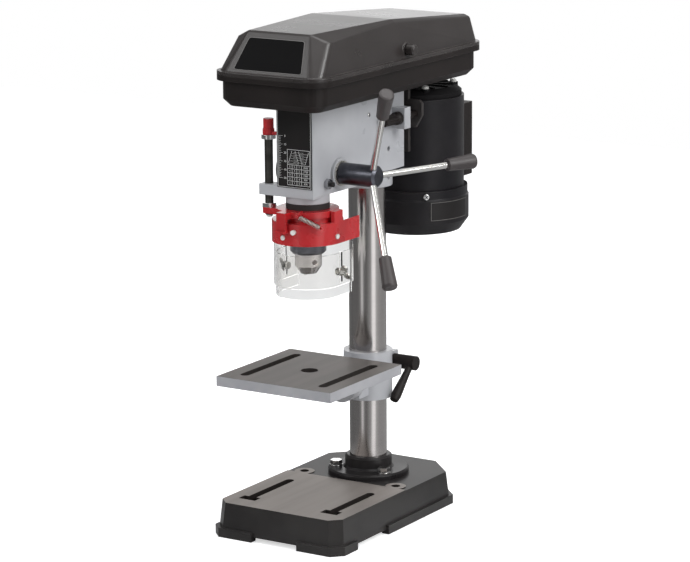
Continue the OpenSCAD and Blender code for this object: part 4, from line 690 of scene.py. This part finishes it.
# The step pulleys drawn in a box over the chart, with the belt on every step
PULLEY_IN, PULLEY_STEP, STEP_FOOT, STEP_HEAD = 8.5 * mm, 3.0 * mm, 1.1 * mm, 1.9 * mm
drawing_high = chart_high + 18.0 * mm
for z in (chart_high, drawing_high):
    stroke(bm, chart_left, chart_right, z - LINE, z + LINE)
for x in (chart_left, chart_right):
    stroke(bm, x - LINE, x + LINE, chart_high, drawing_high)
for step in range(len(CHART_ROWS)):
    z = chart_high + 2.6 * mm + step * PULLEY_STEP
    for centre, half in ((chart_left + PULLEY_IN, 6.6 - step), (chart_right - PULLEY_IN, 2.6 + step)):
        stroke(bm, centre - half * mm, centre + half * mm, z - STEP_FOOT, z - STEP_FOOT + LINE)
        for side in (-half * mm, half * mm):
            stroke(bm, centre + side - LINE, centre + side + LINE, z - STEP_FOOT, z + STEP_HEAD)
    belt_z = z + 0.3 * mm
    stroke(bm, chart_left + PULLEY_IN, chart_right - PULLEY_IN, belt_z, belt_z + LINE)
FRAME = 1.2 * mm
left, right_side = plate_low.x + FRAME, plate_high.x - FRAME
foot, head = plate_low.z + FRAME, plate_high.z - FRAME
for z in (foot, head):
    stroke(bm, left, right_side, z - LINE, z + LINE)
for x in (left, right_side):
    stroke(bm, x - LINE, x + LINE, foot, head)
finish_piece("scale_print", bm, "frame", white_ink)

# %% [markdown]
# The sloping front of the lid carries a black panel with nothing on it. It starts as four points, its corners
# are rounded by bevelling the points, and extruding gives it a thickness.

# %% Bare panel on the lid
lid_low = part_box("lid_shell")[0]
RIM = 6.0 * mm
FACE_SLOPE = math.radians(58.36)
face_foot = Vector((0.0, lid_low.y + RIM, lid_low.z + 6.5 * mm))
face_up = Vector((0.0, math.cos(FACE_SLOPE), math.sin(FACE_SLOPE)))
face_out = Vector((0.0, -math.sin(FACE_SLOPE), math.cos(FACE_SLOPE)))


def slanted_panel(bm, low, high, low_half, high_half, lift, thick, corner):
    corners = []
    for half, s in ((-low_half, low), (low_half, low), (high_half, high), (-high_half, high)):
        corners.append(bm.verts.new(face_foot + Vector((half, 0, 0)) + face_up * s + face_out * lift))
    bm.faces.new(corners)
    bmesh.ops.bevel(bm, geom=corners, offset=corner, affect="VERTICES", segments=5, profile=0.5, material=-1)
    bm.faces.ensure_lookup_table()
    grown = bmesh.ops.extrude_face_region(bm, geom=bm.faces[:])
    moved = [v for v in grown["geom"] if isinstance(v, bmesh.types.BMVert)]
    bmesh.ops.translate(bm, verts=moved, vec=face_out * thick)


# Lower and upper edge, half widths there, lift, thickness and corner radius
bm = bmesh.new()
slanted_panel(bm, 5 * mm, 45.5 * mm, 46 * mm, 37.5 * mm, -0.3 * mm, 0.6 * mm, 2.5 * mm)
finish_piece("lid_panel", bm, "lid", panel_black)
bm = bmesh.new()
slanted_panel(bm, 4.3 * mm, 46.2 * mm, 46.9 * mm, 38.2 * mm, -0.3 * mm, 0.45 * mm, 3 * mm)
finish_piece("lid_panel_border", bm, "lid", border_ink)

# %% [markdown]
# The motor's fan cover has a curved plate riveted to its side. Spinning one upright edge about the motor's axis
# sweeps out the curve, and solidify makes it a sheet.

# %% Bare plate on the motor
fan_low, fan_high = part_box("fan_cover")
motor_axis = Vector((0.0, (fan_low.y + fan_high.y) / 2, 0.0))
fan_r = (fan_high.y - fan_low.y) / 2


def curved_strip(bm, r, start, sweep, low, high, thick):
    direction = Vector((math.sin(start), -math.cos(start), 0.0))
    foot = motor_axis + direction * r
    ends = [bm.verts.new(foot + Vector((0, 0, z))) for z in (low, high)]
    edge = bm.edges.new(ends)
    steps = max(2, round(math.degrees(sweep) / 3))
    earlier = set(bm.faces)
    bmesh.ops.spin(bm, geom=[edge, *ends], cent=motor_axis, axis=(0, 0, 1), angle=sweep, steps=steps)
    faces = [f for f in bm.faces if f not in earlier]
    bmesh.ops.recalc_face_normals(bm, faces=faces)
    bmesh.ops.solidify(bm, geom=faces, thickness=thick)


PLATE_START, PLATE_SWEEP = math.radians(46), math.radians(54)
plate_z1 = fan_high.z - 12 * mm
plate_z0 = plate_z1 - 25 * mm
bm = bmesh.new()
curved_strip(bm, fan_r + 0.25 * mm, PLATE_START, PLATE_SWEEP, plate_z0, plate_z1, 0.5 * mm)
finish_piece("motor_plate", bm, "motor", label_black)

bm = bmesh.new()
BORDER = 0.5 * mm
plate_r = fan_r + 0.75 * mm
inset = 1.2 * mm
turn_in = inset / fan_r
for z in (plate_z0 + inset, plate_z1 - inset - BORDER):
    curved_strip(bm, plate_r, PLATE_START + turn_in, PLATE_SWEEP - 2 * turn_in, z, z + BORDER, INK)
for start in (PLATE_START + turn_in, PLATE_START + PLATE_SWEEP - turn_in - BORDER / fan_r):
    curved_strip(bm, plate_r, start, BORDER / fan_r, plate_z0 + inset, plate_z1 - inset, INK)
finish_piece("motor_plate_border", bm, "motor", border_ink)

# %% [markdown]
# Cross-head screws hold the fan cover, and one sits in the head's side. A screw head starts as a short cone,
# the rim is bevelled into a dome, and two thin bars lie in for the cross.


# %% Cross-head screws
def facing(point, direction):
    return Matrix.Translation(point) @ Vector(direction).to_track_quat("Z", "Y").to_matrix().to_4x4()


def screw_head(bm, point, direction, r, h):
    made = bmesh.ops.create_cone(bm, cap_ends=True, segments=32, radius1=r, radius2=0.86 * r, depth=h,
                                 matrix=facing(point, direction) @ Matrix.Translation((0, 0, h / 2)))
    top = max((v.co - Vector(point)).dot(Vector(direction)) for v in made["verts"])
    rim = {e for v in made["verts"] for e in v.link_edges
           if all((w.co - Vector(point)).dot(Vector(direction)) > top - 1e-6 for w in e.verts)}
    bmesh.ops.bevel(bm, geom=list(rim), offset=0.45 * h, affect="EDGES", segments=3, profile=0.5, material=-1)


def screw_cross(bm, point, direction, r, h):
    for spin in (0.0, math.pi / 2):
        turned = Matrix.Rotation(spin + math.pi / 4, 4, "Z") @ Matrix.Translation((0, 0, h))
        bar = Matrix.Diagonal((1.1 * r, 0.28 * r, 0.1 * mm, 1.0))
        bmesh.ops.create_cube(bm, size=1.0, matrix=facing(point, direction) @ turned @ bar)


def cross_screws(name, spots, body, r, h):
    heads, marks = bmesh.new(), bmesh.new()
    for point, direction in spots:
        screw_head(heads, point, direction, r, h)
        screw_cross(marks, point, direction, r, h)
    finish_piece(name, heads, body, bright_steel)
    finish_piece(name + "_marks", marks, body, dark_steel)


FAN_SCREWS = (42, 162, 282)      # degrees round the motor from the front
FAN_SCREW_DROP = 5.5 * mm
spots = []
for degrees in FAN_SCREWS:
    out_way = Vector((math.sin(math.radians(degrees)), -math.cos(math.radians(degrees)), 0.0))
    spots.append((motor_axis + out_way * (fan_r - 0.3 * mm) + Vector((0, 0, fan_high.z - FAN_SCREW_DROP)), out_way))
cross_screws("fan_cover_screws", spots, "motor", 4.2 * mm, 2.0 * mm)
HEAD_SCREW = Vector((29.5, 0.5, 496.3)) * mm
side_way = Vector((1.0, -0.04, 0.0)).normalized()
cross_screws("head_side_screw", [(HEAD_SCREW, side_way)], "frame", 2.8 * mm, 1.6 * mm)

# %% [markdown]
# Four bright cap nuts hold the motor together, and the depth rod ends in a short nut below its arm. They are
# domes made like the screw heads, without a cross.

# %% Cap nuts
BOLT_IN, NUT_SUNK = 12 * mm, 3 * mm
bolt_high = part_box("motor_top_cap")[1].z
housing_low, housing_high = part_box("motor_housing")
bolt_r = (housing_high.x - housing_low.x) / 2 - BOLT_IN
bm = bmesh.new()
for degrees in (45, 135, 225, 315):
    turned = math.radians(degrees)
    foot = motor_axis + Vector((math.cos(turned) * bolt_r, math.sin(turned) * bolt_r, bolt_high - NUT_SUNK))
    screw_head(bm, foot, (0, 0, 1), 4.6 * mm, 4.0 * mm)
finish_piece("motor_cap_nuts", bm, "motor", screw_zinc)

rod_low, rod_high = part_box("depth_rod")
bm = bmesh.new()
rod_end = Vector(((rod_low.x + rod_high.x) / 2, (rod_low.y + rod_high.y) / 2, rod_low.z))
screw_head(bm, rod_end, (0, 0, -1), 4.2 * mm, 3.0 * mm)
finish_piece("rod_end_nut", bm, "quill", screw_zinc)
